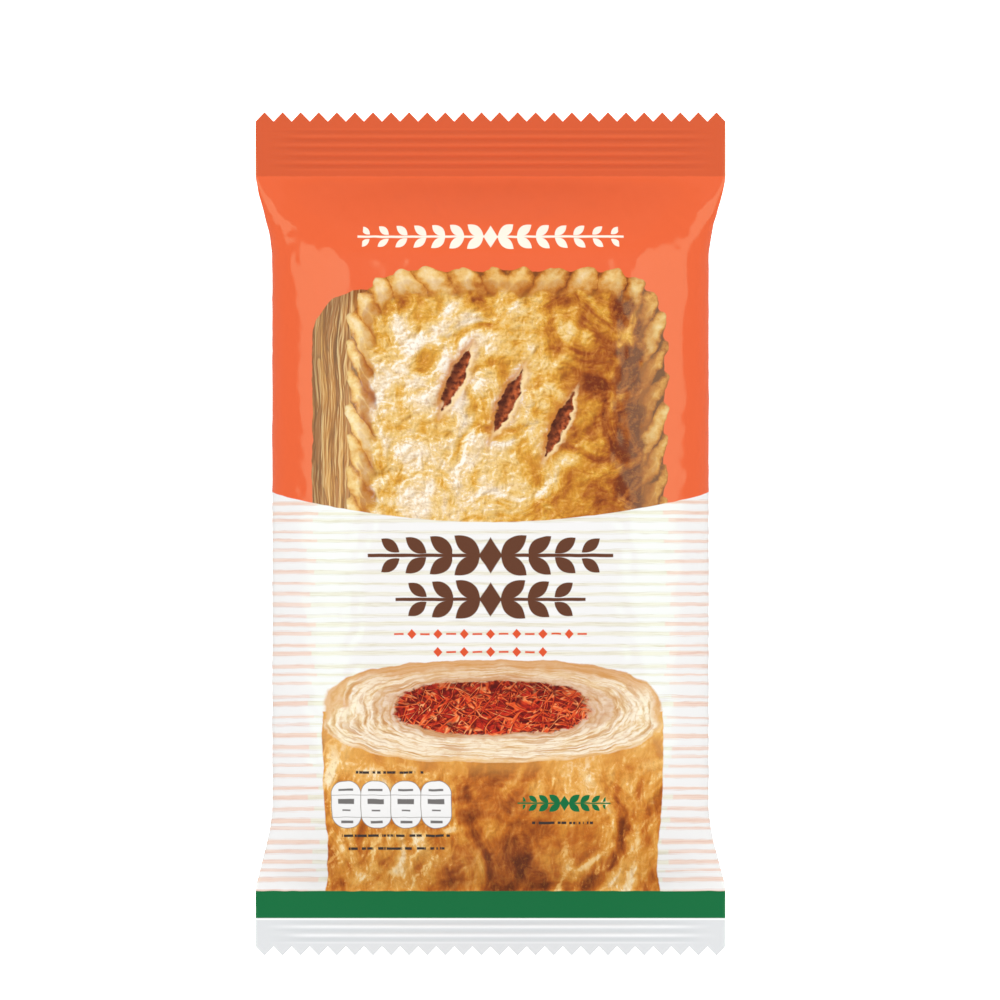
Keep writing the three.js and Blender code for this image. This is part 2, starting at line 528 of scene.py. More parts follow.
@dataclass
class PackFilm:
    """The whole film of the pack as one closed surface, with its toothed ends."""

    pillow: Pillow
    slack: FilmSlack
    teeth: int = 26
    tooth_depth: float = 2.2
    steps_per_tooth: int = 8
    tooth_zone: float = 4.0
    front_share: float = 0.70
    map_gap: float = 0.012
    map_margin: float = 0.012
    foot_crimp_run: float = 8.4
    row_steps: tuple[float, ...] = (0.34, 0.6, 0.72, 1.36, 0.72, 0.36)

    def __post_init__(self) -> None:
        """Lay out the rows and columns and place every point of both films."""
        self.columns = self.teeth * self.steps_per_tooth
        self.rows = self.row_places()
        straight = np.repeat(self.rows[:, None], self.columns + 1, axis=1)
        self.along = self.toothed(straight)
        rows, moved = self.slack.settle()
        row = np.clip((straight - rows[0]) / (rows[1] - rows[0]), 0.0, len(rows) - 1.0)
        half = moved.shape[1] // 2
        share = np.linspace(0.0, 1.0, self.columns + 1)
        self.points: dict[Side, np.ndarray] = {}
        for side in Side:
            x = np.array([self.pillow.columns(y, self.columns, side) for y in self.rows])
            z = self.pillow.height(x, self.along, side)
            turn = share * half if side is Side.FRONT else 2 * half - share * half
            move = sample_net(moved, row, np.broadcast_to(turn, row.shape))
            points = np.stack([x, self.along, z], axis=-1) + move
            if side is Side.BACK:
                floor = self.pillow.resting(points[..., 0])
                points[..., 2] = np.maximum(points[..., 2], floor)
            self.points[side] = points
        for fold in (0, -1):
            middle = (self.points[Side.FRONT][:, fold] + self.points[Side.BACK][:, fold]) / 2.0
            self.points[Side.FRONT][:, fold] = middle
            self.points[Side.BACK][:, fold] = middle

    def row_places(self) -> np.ndarray:
        """Return where the rows cross the pack, closer where the film has fine relief.

        Returns:
            The places, from the foot's tooth tips to the head's.
        """
        pillow = self.pillow
        tip = pillow.length / 2.0
        borders = (
            -tip,
            -tip + self.foot_crimp_run,
            pillow.foot_line,
            pillow.foot_line + pillow.shoulder_run,
            pillow.head_line - pillow.shoulder_run,
            pillow.head_line,
            tip,
        )
        places = [-tip]
        for start, end, step in zip(borders[:-1], borders[1:], self.row_steps, strict=True):
            places += np.linspace(start, end, round((end - start) / step) + 1)[1:].tolist()
        return np.array(places)

    def toothed(self, y: np.ndarray) -> np.ndarray:
        """Return the places along the pack with the outer rows drawn in between the teeth.

        Args:
            y: Places along the pack, as rows by columns.

        Returns:
            The places with the teeth cut in.
        """
        phase = np.linspace(0.0, self.teeth, self.columns + 1) % 1.0
        notch = self.tooth_depth * np.abs(2.0 * phase - 1.0)
        shaped = y.copy()
        for end in End:
            from_tip = self.pillow.length / 2.0 - end.value * y
            pull = np.clip(1.0 - from_tip / self.tooth_zone, 0.0, 1.0)
            shaped -= end.value * notch * pull
        return shaped

    def bake_place(self, share: np.ndarray, y: np.ndarray, side: Side) -> np.ndarray:
        """Return map places in 0 to 1, where the front film has the larger part.

        Args:
            share: Places across the film, from 0 at the left side fold to 1 at the right.
            y: Places along the pack, in millimetres.
            side: The film that is meant.

        Returns:
            The map places, with u and v last.
        """
        margin = self.map_margin
        if side is Side.FRONT:
            start, end = margin, self.front_share
        else:
            start, end = self.front_share + self.map_gap, 1.0 - margin
        along = margin + (y / self.pillow.length + 0.5) * (1.0 - 2.0 * margin)
        return np.stack([start + share * (end - start), along], axis=-1)

    def maps(self, side: Side) -> dict[str, np.ndarray]:
        """Return the film map and the bake map of one film's points.

        Args:
            side: The film that is meant.

        Returns:
            The places of its points on each map, by the map's name.
        """
        share = np.broadcast_to(np.linspace(0.0, 1.0, self.columns + 1), self.along.shape)
        shift = 0.0 if side is Side.FRONT else BACK_OFFSET
        film = np.stack([(share - 0.5) * self.pillow.width + shift, self.along], axis=-1)
        return {FILM_MAP: film, BAKE_MAP: self.bake_place(share, self.along, side)}

    def build(self) -> bpy.types.Object:
        """Build the film as one closed mesh.

        Returns:
            The film's object.
        """
        count = self.columns
        rows = len(self.rows)
        front = np.arange(rows * (count + 1)).reshape(rows, count + 1)
        back = front.copy()
        back[:, 1:-1] = front.size + np.arange(rows * (count - 1)).reshape(rows, count - 1)
        points = np.concatenate(
            [self.points[Side.FRONT].reshape(-1, 3), self.points[Side.BACK][:, 1:-1].reshape(-1, 3)]
        )
        patches = Patches()
        patches.grid(front, self.maps(Side.FRONT), flip=False)
        patches.grid(back, self.maps(Side.BACK), flip=True)
        for row, outward in ((0, -1.0), (-1, 1.0)):
            maps = {name: places[row] for name, places in self.maps(Side.FRONT).items()}
            shift = np.array([0.0, outward * WALL_MAP_WIDTH])
            patches.wall(front[row], back[row], maps, shift, flip=outward > 0.0)
        made = patches.object("printed_film", points)
        made.data.polygons.foreach_set("material_index", self.zones())
        return made

    def zones(self) -> list[int]:
        """Return the number of each face's print zone, in the order in which they are built.

        Returns:
            The numbers, one for each face.
        """
        at_head = (self.rows[:-1] + self.rows[1:]) / 2.0 > ZONE_SPLIT
        front = np.where(at_head, Zone.HEAD.value, Zone.FOOT.value)
        back = np.full(len(front) * self.columns, Zone.BACK.value)
        ends = [Zone.FOOT.value] * self.columns + [Zone.HEAD.value] * self.columns
        return np.repeat(front, self.columns).tolist() + back.tolist() + ends


class Patches:
    """Faces and their map places, gathered patch by patch."""

    def __init__(self) -> None:
        """Start with no faces."""
        self.faces: list[tuple[int, ...]] = []
        self.maps: dict[str, list[np.ndarray]] = {}

    def add(self, corners: Sequence[tuple[int, ...]], maps: Mapping[str, np.ndarray]) -> None:
        """Add faces with a map place for each of their corners.

        Args:
            corners: The vertex indices of each face.
            maps: For each map, the places of those corners.
        """
        self.faces.extend(corners)
        for name, places in maps.items():
            self.maps.setdefault(name, []).append(places.reshape(-1, 2))

    def grid(self, index: np.ndarray, maps: Mapping[str, np.ndarray], flip: bool) -> None:
        """Add a grid of quads.

        Args:
            index: Vertex indices, rows by columns.
            maps: For each map, the places of the same vertices.
            flip: Whether the faces look the other way.
        """
        steps = ((0, 0), (0, 1), (1, 1), (1, 0))
        order = steps[::-1] if flip else steps
        rows, columns = index.shape[0] - 1, index.shape[1] - 1

        def corners(grid: np.ndarray) -> np.ndarray:
            """Return the four corners of each cell."""
            parts = [grid[r : rows + r, c : columns + c] for r, c in order]
            return np.stack(parts, axis=2)

        faces = corners(index).reshape(-1, 4)
        self.add(
            [tuple(face) for face in faces.tolist()],
            {name: corners(places) for name, places in maps.items()},
        )

    def wall(
        self,
        upper: np.ndarray,
        lower: np.ndarray,
        maps: Mapping[str, np.ndarray],
        shift: np.ndarray,
        flip: bool,
    ) -> None:
        """Add the narrow wall between two rims.

        Args:
            upper: Vertex indices along the upper rim.
            lower: Vertex indices along the lower rim. Where they share one, the wall ends.
            maps: For each map, the places of the upper rim.
            shift: From the upper rim to the lower one in the bake map.
            flip: Whether the faces look the other way.
        """
        for i in range(len(upper) - 1):
            ring = [(upper[i], i, 0.0), (lower[i], i, 1.0)]
            ring += [(lower[i + 1], i + 1, 1.0), (upper[i + 1], i + 1, 0.0)]
            kept = [ring[k] for k in range(4) if ring[k][0] != ring[k - 1][0]]
            if flip:
                kept.reverse()
            places = {name: np.array([rim[step] for _, step, _ in kept]) for name, rim in maps.items()}
            places[BAKE_MAP] += np.array([shift * low for _, _, low in kept])
            self.add([tuple(int(vertex) for vertex, _, _ in kept)], places)

    def object(self, name: str, points: np.ndarray) -> bpy.types.Object:
        """Make the smooth-shaded object of all patches.

        Args:
            name: The object's name.
            points: Vertex places in millimetres.

        Returns:
            The linked object.
        """
        mesh = bpy.data.meshes.new(name)
        mesh.from_pydata((points * MM).tolist(), [], self.faces)
        for map_name, places in self.maps.items():
            layer = mesh.uv_layers.new(name=map_name, do_init=False)
            layer.data.foreach_set("uv", np.concatenate(places).astype(np.float32).ravel())
        mesh.polygons.foreach_set("use_smooth", [True] * len(mesh.polygons))
        mesh.set_sharp_from_angle(angle=SHARP_EDGE)
        return placed(name, mesh)


@dataclass
class BackSeam:
    """The back seam: the tube's two edges sealed face to face and folded flat to one side."""

    film: PackFilm
    thickness: float = 0.5
    pressed: float = 0.22
    clearance: float = 0.03
    lifted: float = 0.12
    thickening_run: float = 6.0
    lifting_run: float = 10.0

    def build(self) -> bpy.types.Object:
        """Build the seam as a thin strip that follows the back film.

        Returns:
            The seam's object.
        """
        film = self.film
        pillow = film.pillow
        back = film.points[Side.BACK]
        share = np.linspace(-0.5, 0.5, film.columns + 1) * pillow.width
        chosen = np.flatnonzero((share >= pillow.seam_root) & (share <= pillow.seam_edge))
        strip = back[:, chosen]
        along = np.gradient(back, axis=0)[:, chosen]
        across = np.gradient(back, axis=1)[:, chosen]
        normal = np.cross(along, across)
        normal /= np.linalg.norm(normal, axis=-1, keepdims=True)
        inset = pillow.inset(film.rows)[:, None, None]
        thickness = self.pressed + (self.thickness - self.pressed) * smooth(inset / self.thickening_run)
        edge = smooth((chosen - chosen[0]) / (len(chosen) - 1.0))[None, :, None]
        gap = self.clearance + self.lifted * edge * smooth(inset / self.lifting_run)
        upper = strip + normal * gap
        lower = upper + normal * (thickness - self.lifted * edge)
        lower[..., 2] = np.maximum(lower[..., 2], 0.0)
        upper[..., 2] = np.maximum(upper[..., 2], lower[..., 2] + self.pressed / 2.0)
        rows, columns = strip.shape[:2]
        index = np.arange(rows * columns).reshape(rows, columns)
        below = index + index.size
        maps = self.maps(chosen)
        patches = Patches()
        patches.grid(index, maps[0], flip=False)
        patches.grid(below, maps[1], flip=True)
        self.close(patches, index, below, maps[0])
        points = np.concatenate([upper.reshape(-1, 3), lower.reshape(-1, 3)])
        return patches.object("back_seam", points)

    def close(
        self,
        patches: Patches,
        upper: np.ndarray,
        lower: np.ndarray,
        maps: Mapping[str, np.ndarray],
    ) -> None:
        """Close the strip's four narrow sides.

        Args:
            patches: The strip's faces, which the sides are added to.
            upper: Vertex indices of the hidden face.
            lower: Vertex indices of the outer face.
            maps: For each map, the places of the hidden face.
        """
        for row, outward, flip in ((0, -1.0, False), (-1, 1.0, True)):
            rim = {name: places[row] for name, places in maps.items()}
            shift = np.array([0.0, outward * WALL_MAP_WIDTH])
            patches.wall(upper[row], lower[row], rim, shift, flip)
        for column, outward, flip in ((0, -1.0, True), (-1, 1.0, False)):
            rim = {name: places[:, column] for name, places in maps.items()}
            shift = np.array([outward * WALL_MAP_WIDTH, 0.0])
            patches.wall(upper[:, column], lower[:, column], rim, shift, flip)

    def maps(self, chosen: np.ndarray) -> tuple[dict[str, np.ndarray], dict[str, np.ndarray]]:
        """Return the maps of the strip's hidden and of its outer face.

        Args:
            chosen: The film's columns that the strip takes in.

        Returns:
            The maps of the hidden face, and those of the outer one.
        """
        film = self.film
        y = film.along[:, chosen]
        share = (chosen - chosen[0]) / (len(chosen) - 1.0)
        across = np.broadcast_to(share * SEAM_MAP_WIDTH, y.shape)
        place = np.stack([across + SEAM_OFFSET, y], axis=-1)
        margin = 2.0 * WALL_MAP_WIDTH
        along = margin + (y / film.pillow.length + 0.5) * (1.0 - 2.0 * margin)
        both = []
        for start, end in ((margin, 0.5 - margin), (0.5 + margin, 1.0 - margin)):
            u = np.broadcast_to(start + share * (end - start), y.shape)
            both.append({FILM_MAP: place, BAKE_MAP: np.stack([u, along], axis=-1)})
        return both[0], both[1]


@dataclass(frozen=True)
class Ink:
    """A print colour as a picture shows it, each part from 0 to 255."""

    red: int
    green: int
    blue: int

    def linear(self) -> tuple[float, float, float, float]:
        """Return the colour as the shader takes it.

        Returns:
            Its red, green and blue light, and a full alpha.
        """
        lit = []
        for part in (self.red, self.green, self.blue):
            share = part / 255.0
            light = share / 12.92 if share <= 0.04045 else ((share + 0.055) / 1.055) ** 2.4
            lit.append(light * INK_LEVEL)
        return (*lit, 1.0)


@dataclass(frozen=True)
class Grain:
    """A noise: its features per millimetre, its finer octaves, their strength and its bend."""

    scale: float
    detail: float = 3.0
    rough: float = 0.5
    bend: float = 0.0


Shade = Union["Field", float]
Tone = Union["Field", Ink]
Stops = Sequence[tuple[float, Ink]]
Pair = tuple[float, float]


class Field:
    """One socket of the shader, with arithmetic that adds Math nodes."""

    def __init__(self, sheet: "NodeSheet", socket: bpy.types.NodeSocket) -> None:
        """Wrap a socket of a sheet's nodes."""
        self.sheet = sheet
        self.socket = socket

    def __add__(self, other: Shade) -> "Field":
        """Return the sum."""
        return self.sheet.math("ADD", self, other)

    def __sub__(self, other: Shade) -> "Field":
        """Return the difference."""
        return self.sheet.math("SUBTRACT", self, other)

    def __rsub__(self, other: Shade) -> "Field":
        """Return the difference from a number."""
        return self.sheet.math("SUBTRACT", other, self)

    def __mul__(self, other: Shade) -> "Field":
        """Return the product."""
        return self.sheet.math("MULTIPLY", self, other)

    def __truediv__(self, other: Shade) -> "Field":
        """Return the quotient."""
        return self.sheet.math("DIVIDE", self, other)

    def __rtruediv__(self, other: Shade) -> "Field":
        """Return a number's quotient."""
        return self.sheet.math("DIVIDE", other, self)

    def __pow__(self, exponent: Shade) -> "Field":
        """Return the value raised to a power."""
        return self.sheet.math("POWER", self, exponent)

    def __rpow__(self, base: Shade) -> "Field":
        """Return a number raised to the value."""
        return self.sheet.math("POWER", base, self)

    def __neg__(self) -> "Field":
        """Return the value with its sign turned."""
        return self.sheet.math("MULTIPLY", self, -1.0)

    def __abs__(self) -> "Field":
        """Return the size of the value."""
        return self.sheet.math("ABSOLUTE", self)

    __radd__ = __add__
    __rmul__ = __mul__

    def wave(self, length: float) -> "Field":
        """Return a cosine of the value with a wave length."""
        return self.sheet.math("COSINE", self * (2.0 * math.pi / length))

    def floor(self) -> "Field":
        """Return the whole number below the value."""
        return self.sheet.math("FLOOR", self)

    def fraction(self) -> "Field":
        """Return what is over the whole number below the value."""
        return self.sheet.math("FRACT", self)

    def least(self, other: Shade) -> "Field":
        """Return the smaller of two values."""
        return self.sheet.math("MINIMUM", self, other)

    def most(self, other: Shade) -> "Field":
        """Return the larger of two values."""
        return self.sheet.math("MAXIMUM", self, other)

    def under(self, limit: float, soft: float = 0.1) -> "Field":
        """Return 1 where the value is under a limit, with a soft change to 0."""
        return self.sheet.eased(self, limit - soft, limit + soft, 1.0, 0.0)

    def over(self, limit: float, soft: float = 0.1) -> "Field":
        """Return 1 where the value is over a limit, with a soft change from 0."""
        return self.sheet.eased(self, limit - soft, limit + soft, 0.0, 1.0)


class NodeSheet:
    """The nodes of one material or world."""

    def __init__(self, tree: bpy.types.NodeTree) -> None:
        """Start an empty sheet on a node tree."""
        self.tree = tree
        tree.nodes.clear()

    def node(
        self,
        kind: str,
        settings: Mapping[str, object] | None = None,
        inputs: Mapping[str | int, object] | None = None,
    ) -> bpy.types.Node:
        """Add a node.

        Args:
            kind: The node's type, without the words ShaderNode.
            settings: Its settings, which are set first. The stops of a ramp are one.
            inputs: Values or fields for its sockets, by name or number.

        Returns:
            The node.
        """
        made = self.tree.nodes.new("ShaderNode" + kind)
        for name, value in (settings or {}).items():
            if name == "stops":
                self.set_stops(made.color_ramp, value)
            else:
                setattr(made, name, value)
        for name, value in (inputs or {}).items():
            if isinstance(value, Field):
                self.tree.links.new(value.socket, made.inputs[name])
            elif isinstance(value, Ink):
                made.inputs[name].default_value = value.linear()
            else:
                made.inputs[name].default_value = value
        return made

    def set_stops(self, ramp: bpy.types.ColorRamp, stops: Stops) -> None:
        """Give a ramp its stops.

        Args:
            ramp: The ramp.
            stops: Its places from 0 to 1, each with its ink.
        """
        while len(ramp.elements) < len(stops):
            ramp.elements.new(0.5)
        for element, (place, ink) in zip(ramp.elements, stops, strict=True):
            element.position = place
            element.color = ink.linear()

    def show(self, shader: bpy.types.Node, output: str = "OutputMaterial") -> None:
        """Let a shader be what the material or the world shows."""
        self.node(output, None, {"Surface": Field(self, shader.outputs[0])})

    def math(self, operation: str, *values: Shade) -> Field:
        """Return the result of a Math node."""
        made = self.node("Math", {"operation": operation}, dict(enumerate(values)))
        return Field(self, made.outputs[0])

    def eased(self, value: Field, low: float, high: float, start: float, end: float) -> Field:
        """Return a value eased from start to end as it goes from low to high.

        Args:
            value: What the result depends on.
            low: Where the change starts.
            high: Where the change ends.
            start: The result up to there.
            end: The result from there on.

        Returns:
            The result.
        """
        made = self.node(
            "MapRange",
            {"interpolation_type": "SMOOTHSTEP"},
            {"Value": value, "From Min": low, "From Max": high, "To Min": start, "To Max": end},
        )
        return Field(self, made.outputs["Result"])

    def place(self, x: Shade, y: Shade, z: Shade = 0.0) -> Field:
        """Return a vector of three values."""
        made = self.node("CombineXYZ", None, {"X": x, "Y": y, "Z": z})
        return Field(self, made.outputs[0])

    def noise(self, place: Field, grain: Grain) -> Field:
        """Return fractal noise around 0.5, read at a place.

        Args:
            place: Where it is read.
            grain: What it is like.

        Returns:
            The noise.
        """
        inputs = {
            "Vector": place,
            "Scale": grain.scale,
            "Detail": grain.detail,
            "Roughness": grain.rough,
            "Distortion": grain.bend,
        }
        return Field(self, self.node("TexNoise", None, inputs).outputs[0])

    def drawn(self, number: Field) -> list[Field]:
        """Return three values from 0 to 1, drawn anew for each whole number.

        Args:
            number: The whole number.

        Returns:
            The three values.
        """
        made = self.node("TexWhiteNoise", {"noise_dimensions": "1D"}, {"W": number})
        parts = self.node("SeparateXYZ", None, {0: Field(self, made.outputs["Color"])})
        return [Field(self, part) for part in parts.outputs]

    def ramp(self, value: Field, stops: Stops) -> Field:
        """Return a colour from a ramp of inks."""
        made = self.node("ValToRGB", {"stops": stops}, {"Fac": value})
        return Field(self, made.outputs["Color"])

    def mix(self, share: Shade, first: Tone, second: Tone) -> Field:
        """Return a first colour with a share of a second one over it."""
        made = self.node("Mix", {"data_type": "RGBA"}, {0: share, 6: first, 7: second})
        return Field(self, made.outputs[2])

    def flanks(
        self, ground: Tone, slope: Field, light: tuple[float, Tone], shade: tuple[float, Tone]
    ) -> Field:
        """Return a colour with the flanks of its relief lit and shaded.

        Args:
            ground: The colour.
            slope: How the relief rises towards the light, below 0 where it falls.
            light: The most that a lit flank takes on of a colour, and that colour.
            shade: The most that a shaded flank takes on of a colour, and that colour.

        Returns:
            The colour with its relief.
        """
        shaded = self.mix((-slope).most(0.0).least(shade[0]), ground, shade[1])
        return self.mix(slope.most(0.0).least(light[0]), shaded, light[1])


def corner(over_x: Field, over_y: Field) -> Field:
    """Return the distance to a quarter of the plane from how far over its edges a place is.

    Args:
        over_x: How far a place is beyond the upright edge, below 0 inside.
        over_y: How far it is beyond the level edge, below 0 inside.

    Returns:
        The distance, below 0 inside.
    """
    held_x, held_y = over_x.most(0.0), over_y.most(0.0)
    outside = (held_x * held_x + held_y * held_y) ** 0.5
    return outside + over_x.most(over_y).least(0.0)


def oval(x: Field, y: Field, half: Pair, power: float = 2.5) -> Field:
    """Return the distance from a squarish oval's middle as a share of the way to its edge."""
    return ((abs(x) / half[0]) ** power + (abs(y) / half[1]) ** power) ** (1.0 / power)


def turned(x: Field, y: Field, angle: float) -> tuple[Field, Field]:
    """Return a place as seen from axes that are turned by an angle."""
    cosine, sine = math.cos(angle), math.sin(angle)
    return x * cosine + y * sine, y * cosine - x * sine


@dataclass
class Canvas:
    """The film of one print zone, to be drawn on in millimetres of film."""

    sheet: NodeSheet
    pillow: Pillow
    zone: Zone

    def __post_init__(self) -> None:
        """Read where on the film each point is."""
        read = self.sheet.node("UVMap", {"uv_map": FILM_MAP})
        parts = self.sheet.node("SeparateXYZ", None, {0: Field(self.sheet, read.outputs[0])})
        self.across = Field(self.sheet, parts.outputs["X"])
        self.along = Field(self.sheet, parts.outputs["Y"])
        if self.zone is Zone.BACK:
            in_seam = self.across.over((BACK_OFFSET + SEAM_OFFSET) / 2.0)
            self.across = self.across - BACK_OFFSET - in_seam * (SEAM_OFFSET - BACK_OFFSET)

    def grain(
        self, grain: Grain, squeeze: float = 1.0, start: Pair = (0.0, 0.0), step: float = 0.0
    ) -> Field:
        """Return noise over the film.

        Args:
            grain: The noise.
            squeeze: How much closer its features are along the pack.
            start: How far to the right and up it is read.
            step: How far it is read beyond that, towards the light at the upper left.

        Returns:
            The noise.
        """
        right, up = start[0] - step, start[1] + step
        place = self.sheet.place(self.across + right, (self.along + up) * squeeze)
        return self.sheet.noise(place, grain)

    def streaks(self, over: float, along: float, detail: float, rough: float = 0.5) -> Field:
        """Return noise with one scale across the pack and another along it.

        Args:
            over: Features per millimetre across the pack.
            along: Features per millimetre along it.
            detail: Octaves of finer noise.
            rough: How strong the finer noise is.

        Returns:
            The noise.
        """
        place = self.sheet.place(self.across * over, self.along * along)
        return self.sheet.noise(place, Grain(1.0, detail, rough))

    def rounded_box(self, centre: Pair, half: Pair, radius: float) -> Field:
        """Return the distance to a rounded rectangle, below 0 inside.

        Args:
            centre: Its middle.
            half: Half its width and height.
            radius: Its corners' radius.

        Returns:
            The distance.
        """
        over_x = abs(self.across - centre[0]) - (half[0] - radius)
        over_y = abs(self.along - centre[1]) - (half[1] - radius)
        return corner(over_x, over_y) - radius

    def pressed(self, end: End) -> Field:
        """Return the painted light of a seal's crimp: above 0 for painted highlights on its ridges,
        below 0 for painted shade in its grooves.

        Args:
            end: The end whose seal is meant.

        Returns:
            The painted light and shade.
        """
        crimp = self.pillow.seal(end).crimp
        from_tip = self.pillow.length / 2.0 - self.along * end.value
        turns = (from_tip - crimp.start) / crimp.pitch
        inside = abs(turns - crimp.ridges / 2.0).under(crimp.ridges / 2.0 + 0.4, 0.1)
        patchy = self.sheet.noise(self.sheet.place(self.across * 0.05, turns.floor()), Grain(1.0, 2.0))
        fade = (abs(self.across) + patchy * 12.0).under(53.0, 6.0)
        # Painted light and shade: a cosine over the ridges, patchy, fading towards the side folds.
        return -turns.wave(1.0) * inside * fade * (0.35 + 0.75 * patchy)


class Motif(Protocol):
    """Something printed on the film."""

    def draw(self, canvas: Canvas, ground: Tone) -> Field:
        """Return the ground with the motif on it.

        Args:
            canvas: The film of one print zone.
            ground: What is printed so far.

        Returns:
            The colour.
        """


@dataclass(frozen=True)
class HeadSeal:
    """The crimped head seal: a painted shade a little darker than the orange field, with painted
    highlights on its ridges and painted shade in its grooves.
    """

    # Painted shade: the flat seal is a little darker than the orange field.
    ink: Ink = Ink(217, 92, 50)
    # Painted shade for the crimp's grooves and painted highlight for its ridges.
    groove_shade: Ink = Ink(206, 86, 46)
    ridge_light: Ink = Ink(229, 101, 56)

    def draw(self, canvas: Canvas, ground: Tone) -> Field:
        """Return the ground with the head seal.

        Args:
            canvas: The film of one print zone.
            ground: What is printed so far.

        Returns:
            The colour.
        """
        sheet = canvas.sheet
        # Painted shade laid over the whole flat seal.
        colour = sheet.mix(canvas.along.over(canvas.pillow.head_line, 0.2), ground, self.ink)
        # Painted highlights on the crimp's ridges and painted shade in its grooves.
        ridge_light = canvas.pressed(End.HEAD)
        return sheet.flanks(colour, ridge_light, (1.0, self.ridge_light), (1.0, self.groove_shade))


@dataclass(frozen=True)
class FootBands:
    """The green band and the crimped pearl foot seal under it, with a pale line between them. The crimp
    has painted highlights on its ridges and painted shade in its grooves.
    """

    seal_top: float = -89.9
    line: float = 0.45
    green: Ink = Ink(6, 110, 60)
    pearl: Ink = Ink(224, 226, 228)
    # Painted shade for the crimp's grooves and painted highlight for its ridges.
    groove_shade: Ink = Ink(211, 215, 217)
    ridge_light: Ink = Ink(253, 254, 255)

    def draw(self, canvas: Canvas, ground: Tone) -> Field:
        """Return the ground with the band and the foot seal.

        Args:
            canvas: The film of one print zone.
            ground: What is printed so far.

        Returns:
            The colour.
        """
        sheet, along = canvas.sheet, canvas.along
        colour = sheet.mix(along.under(canvas.pillow.foot_line), ground, self.green)
        # Painted highlights on the crimp's ridges and painted shade in its grooves.
        ridge_light = canvas.pressed(End.FOOT)
        seal = sheet.mix((-ridge_light).most(0.0), self.pearl, self.groove_shade)
        seal = sheet.mix(ridge_light.most(along.over(self.seal_top - self.line)), seal, self.ridge_light)
        return sheet.mix(along.under(self.seal_top), colour, seal)


@dataclass(frozen=True)
class Stripes:
    """White film under a wave, brushed with uneven pale bands that are warmer beside the side folds."""

    wave_level: float = 10.05
    wave_depth: float = 7.25
    pitch: float = 2.4
    side_from: float = 43.0
    white: Ink = Ink(244, 243, 242)
    straw: Ink = Ink(238, 234, 216)
    peach: Ink = Ink(243, 216, 200)
    hay: Ink = Ink(204, 192, 162)
    salmon: Ink = Ink(222, 172, 152)

    def draw(self, canvas: Canvas, ground: Tone) -> Field:
        """Return the ground with the white field. Its wave runs on round the tube.

        Args:
            canvas: The film of one print zone.
            ground: What is printed so far.

        Returns:
            The colour.
        """
        sheet, across, along = canvas.sheet, canvas.across, canvas.along
        depth = -self.wave_depth if canvas.zone is Zone.BACK else self.wave_depth
        wave = self.wave_level - across.wave(2.0 * canvas.pillow.width) * depth
        drift = canvas.streaks(0.016, 0.05, 2.0)
        turn = (along + drift * 1.5) / self.pitch
        offset, breadth, reach = sheet.drawn(turn.floor())
        middle = (turn.fraction() - 0.5 + (offset - 0.5) * 0.4) * self.pitch
        bristle = canvas.streaks(0.035, 3.6, 3.0, 0.6)
        out = abs(middle) - breadth * 0.32 - 0.2 + (bristle - 0.5) * 0.7
        side = (abs(across) + reach * 3.0).over(self.side_from, 0.25)
        band = out.under(0.0, 0.16) * (0.5 + 0.5 * breadth.most(reach))
        hair = abs(bristle - 0.53).under(0.018, 0.03) * out.under(0.3, 0.2)
        brushed = sheet.mix(band, self.white, sheet.mix(side, self.straw, self.peach))
        brushed = sheet.mix(hair * 0.75, brushed, sheet.mix(side, self.hay, self.salmon))
        return sheet.mix((along - wave).under(0.0), ground, brushed)


@dataclass(frozen=True)
class Panel:
    """A blank ruled panel, as the back of a pack has."""

    centre: Pair
    half: Pair
    radius: float = 3.0
    rule_pitch: float = 4.6
    white: Ink = Ink(244, 243, 242)
    grey: Ink = Ink(120, 116, 112)

    def draw(self, canvas: Canvas, ground: Tone) -> Field:
        """Return the ground with the panel.

        Args:
            canvas: The film of one print zone.
            ground: What is printed so far.

        Returns:
            The colour.
        """
        edge = canvas.rounded_box(self.centre, self.half, self.radius)
        turn = (canvas.along - self.centre[1]) / self.rule_pitch
        rule = abs(turn.fraction() - 0.5).under(0.035, 0.02) * (edge + 3.0).under(0.0)
        line = abs(edge + 0.9).under(0.16, 0.06).most(rule * 0.6)
        colour = canvas.sheet.mix(edge.under(0.0, 0.12), ground, self.white)
        return canvas.sheet.mix(line * 0.75, colour, self.grey)


@dataclass(frozen=True)
class Sprig:
    """A level sprig of paired leaves, alike to the left and right."""

    level: float
    reach: float
    pitch: float
    leaf: float
    ink: Ink
    centre: float = 0.0
    heart: float = 0.75
    slant: float = math.radians(38.0)

    def draw(self, canvas: Canvas, ground: Tone) -> Field:
        """Return the ground with the sprig.

        Args:
            canvas: The film of one print zone.
            ground: What is printed so far.

        Returns:
            The colour.
        """
        leaf = self.leaf
        out = abs(canvas.across - self.centre)
        up = abs(canvas.along - self.level)
        beyond = out - leaf * self.heart
        cell = (beyond / self.pitch).floor().most(0.0)
        shrink = 1.0 - cell * (0.45 * self.pitch / self.reach)
        length, breadth = turned(beyond - (cell + 0.42) * self.pitch, up - leaf * 0.62, self.slant)
        length = length / (shrink * leaf)
        breadth = abs(breadth) / (shrink * (leaf * 0.5))
        leaves = (length * length + breadth).under(1.0, 0.06) * out.under(self.reach)
        stem = up.under(leaf * 0.11, 0.1) * out.under(self.reach + 1.2)
        bud = (out / (leaf * 0.72) + up / (leaf * 1.12)).under(1.0, 0.06)
        return canvas.sheet.mix(leaves.most(stem).most(bud), ground, self.ink)


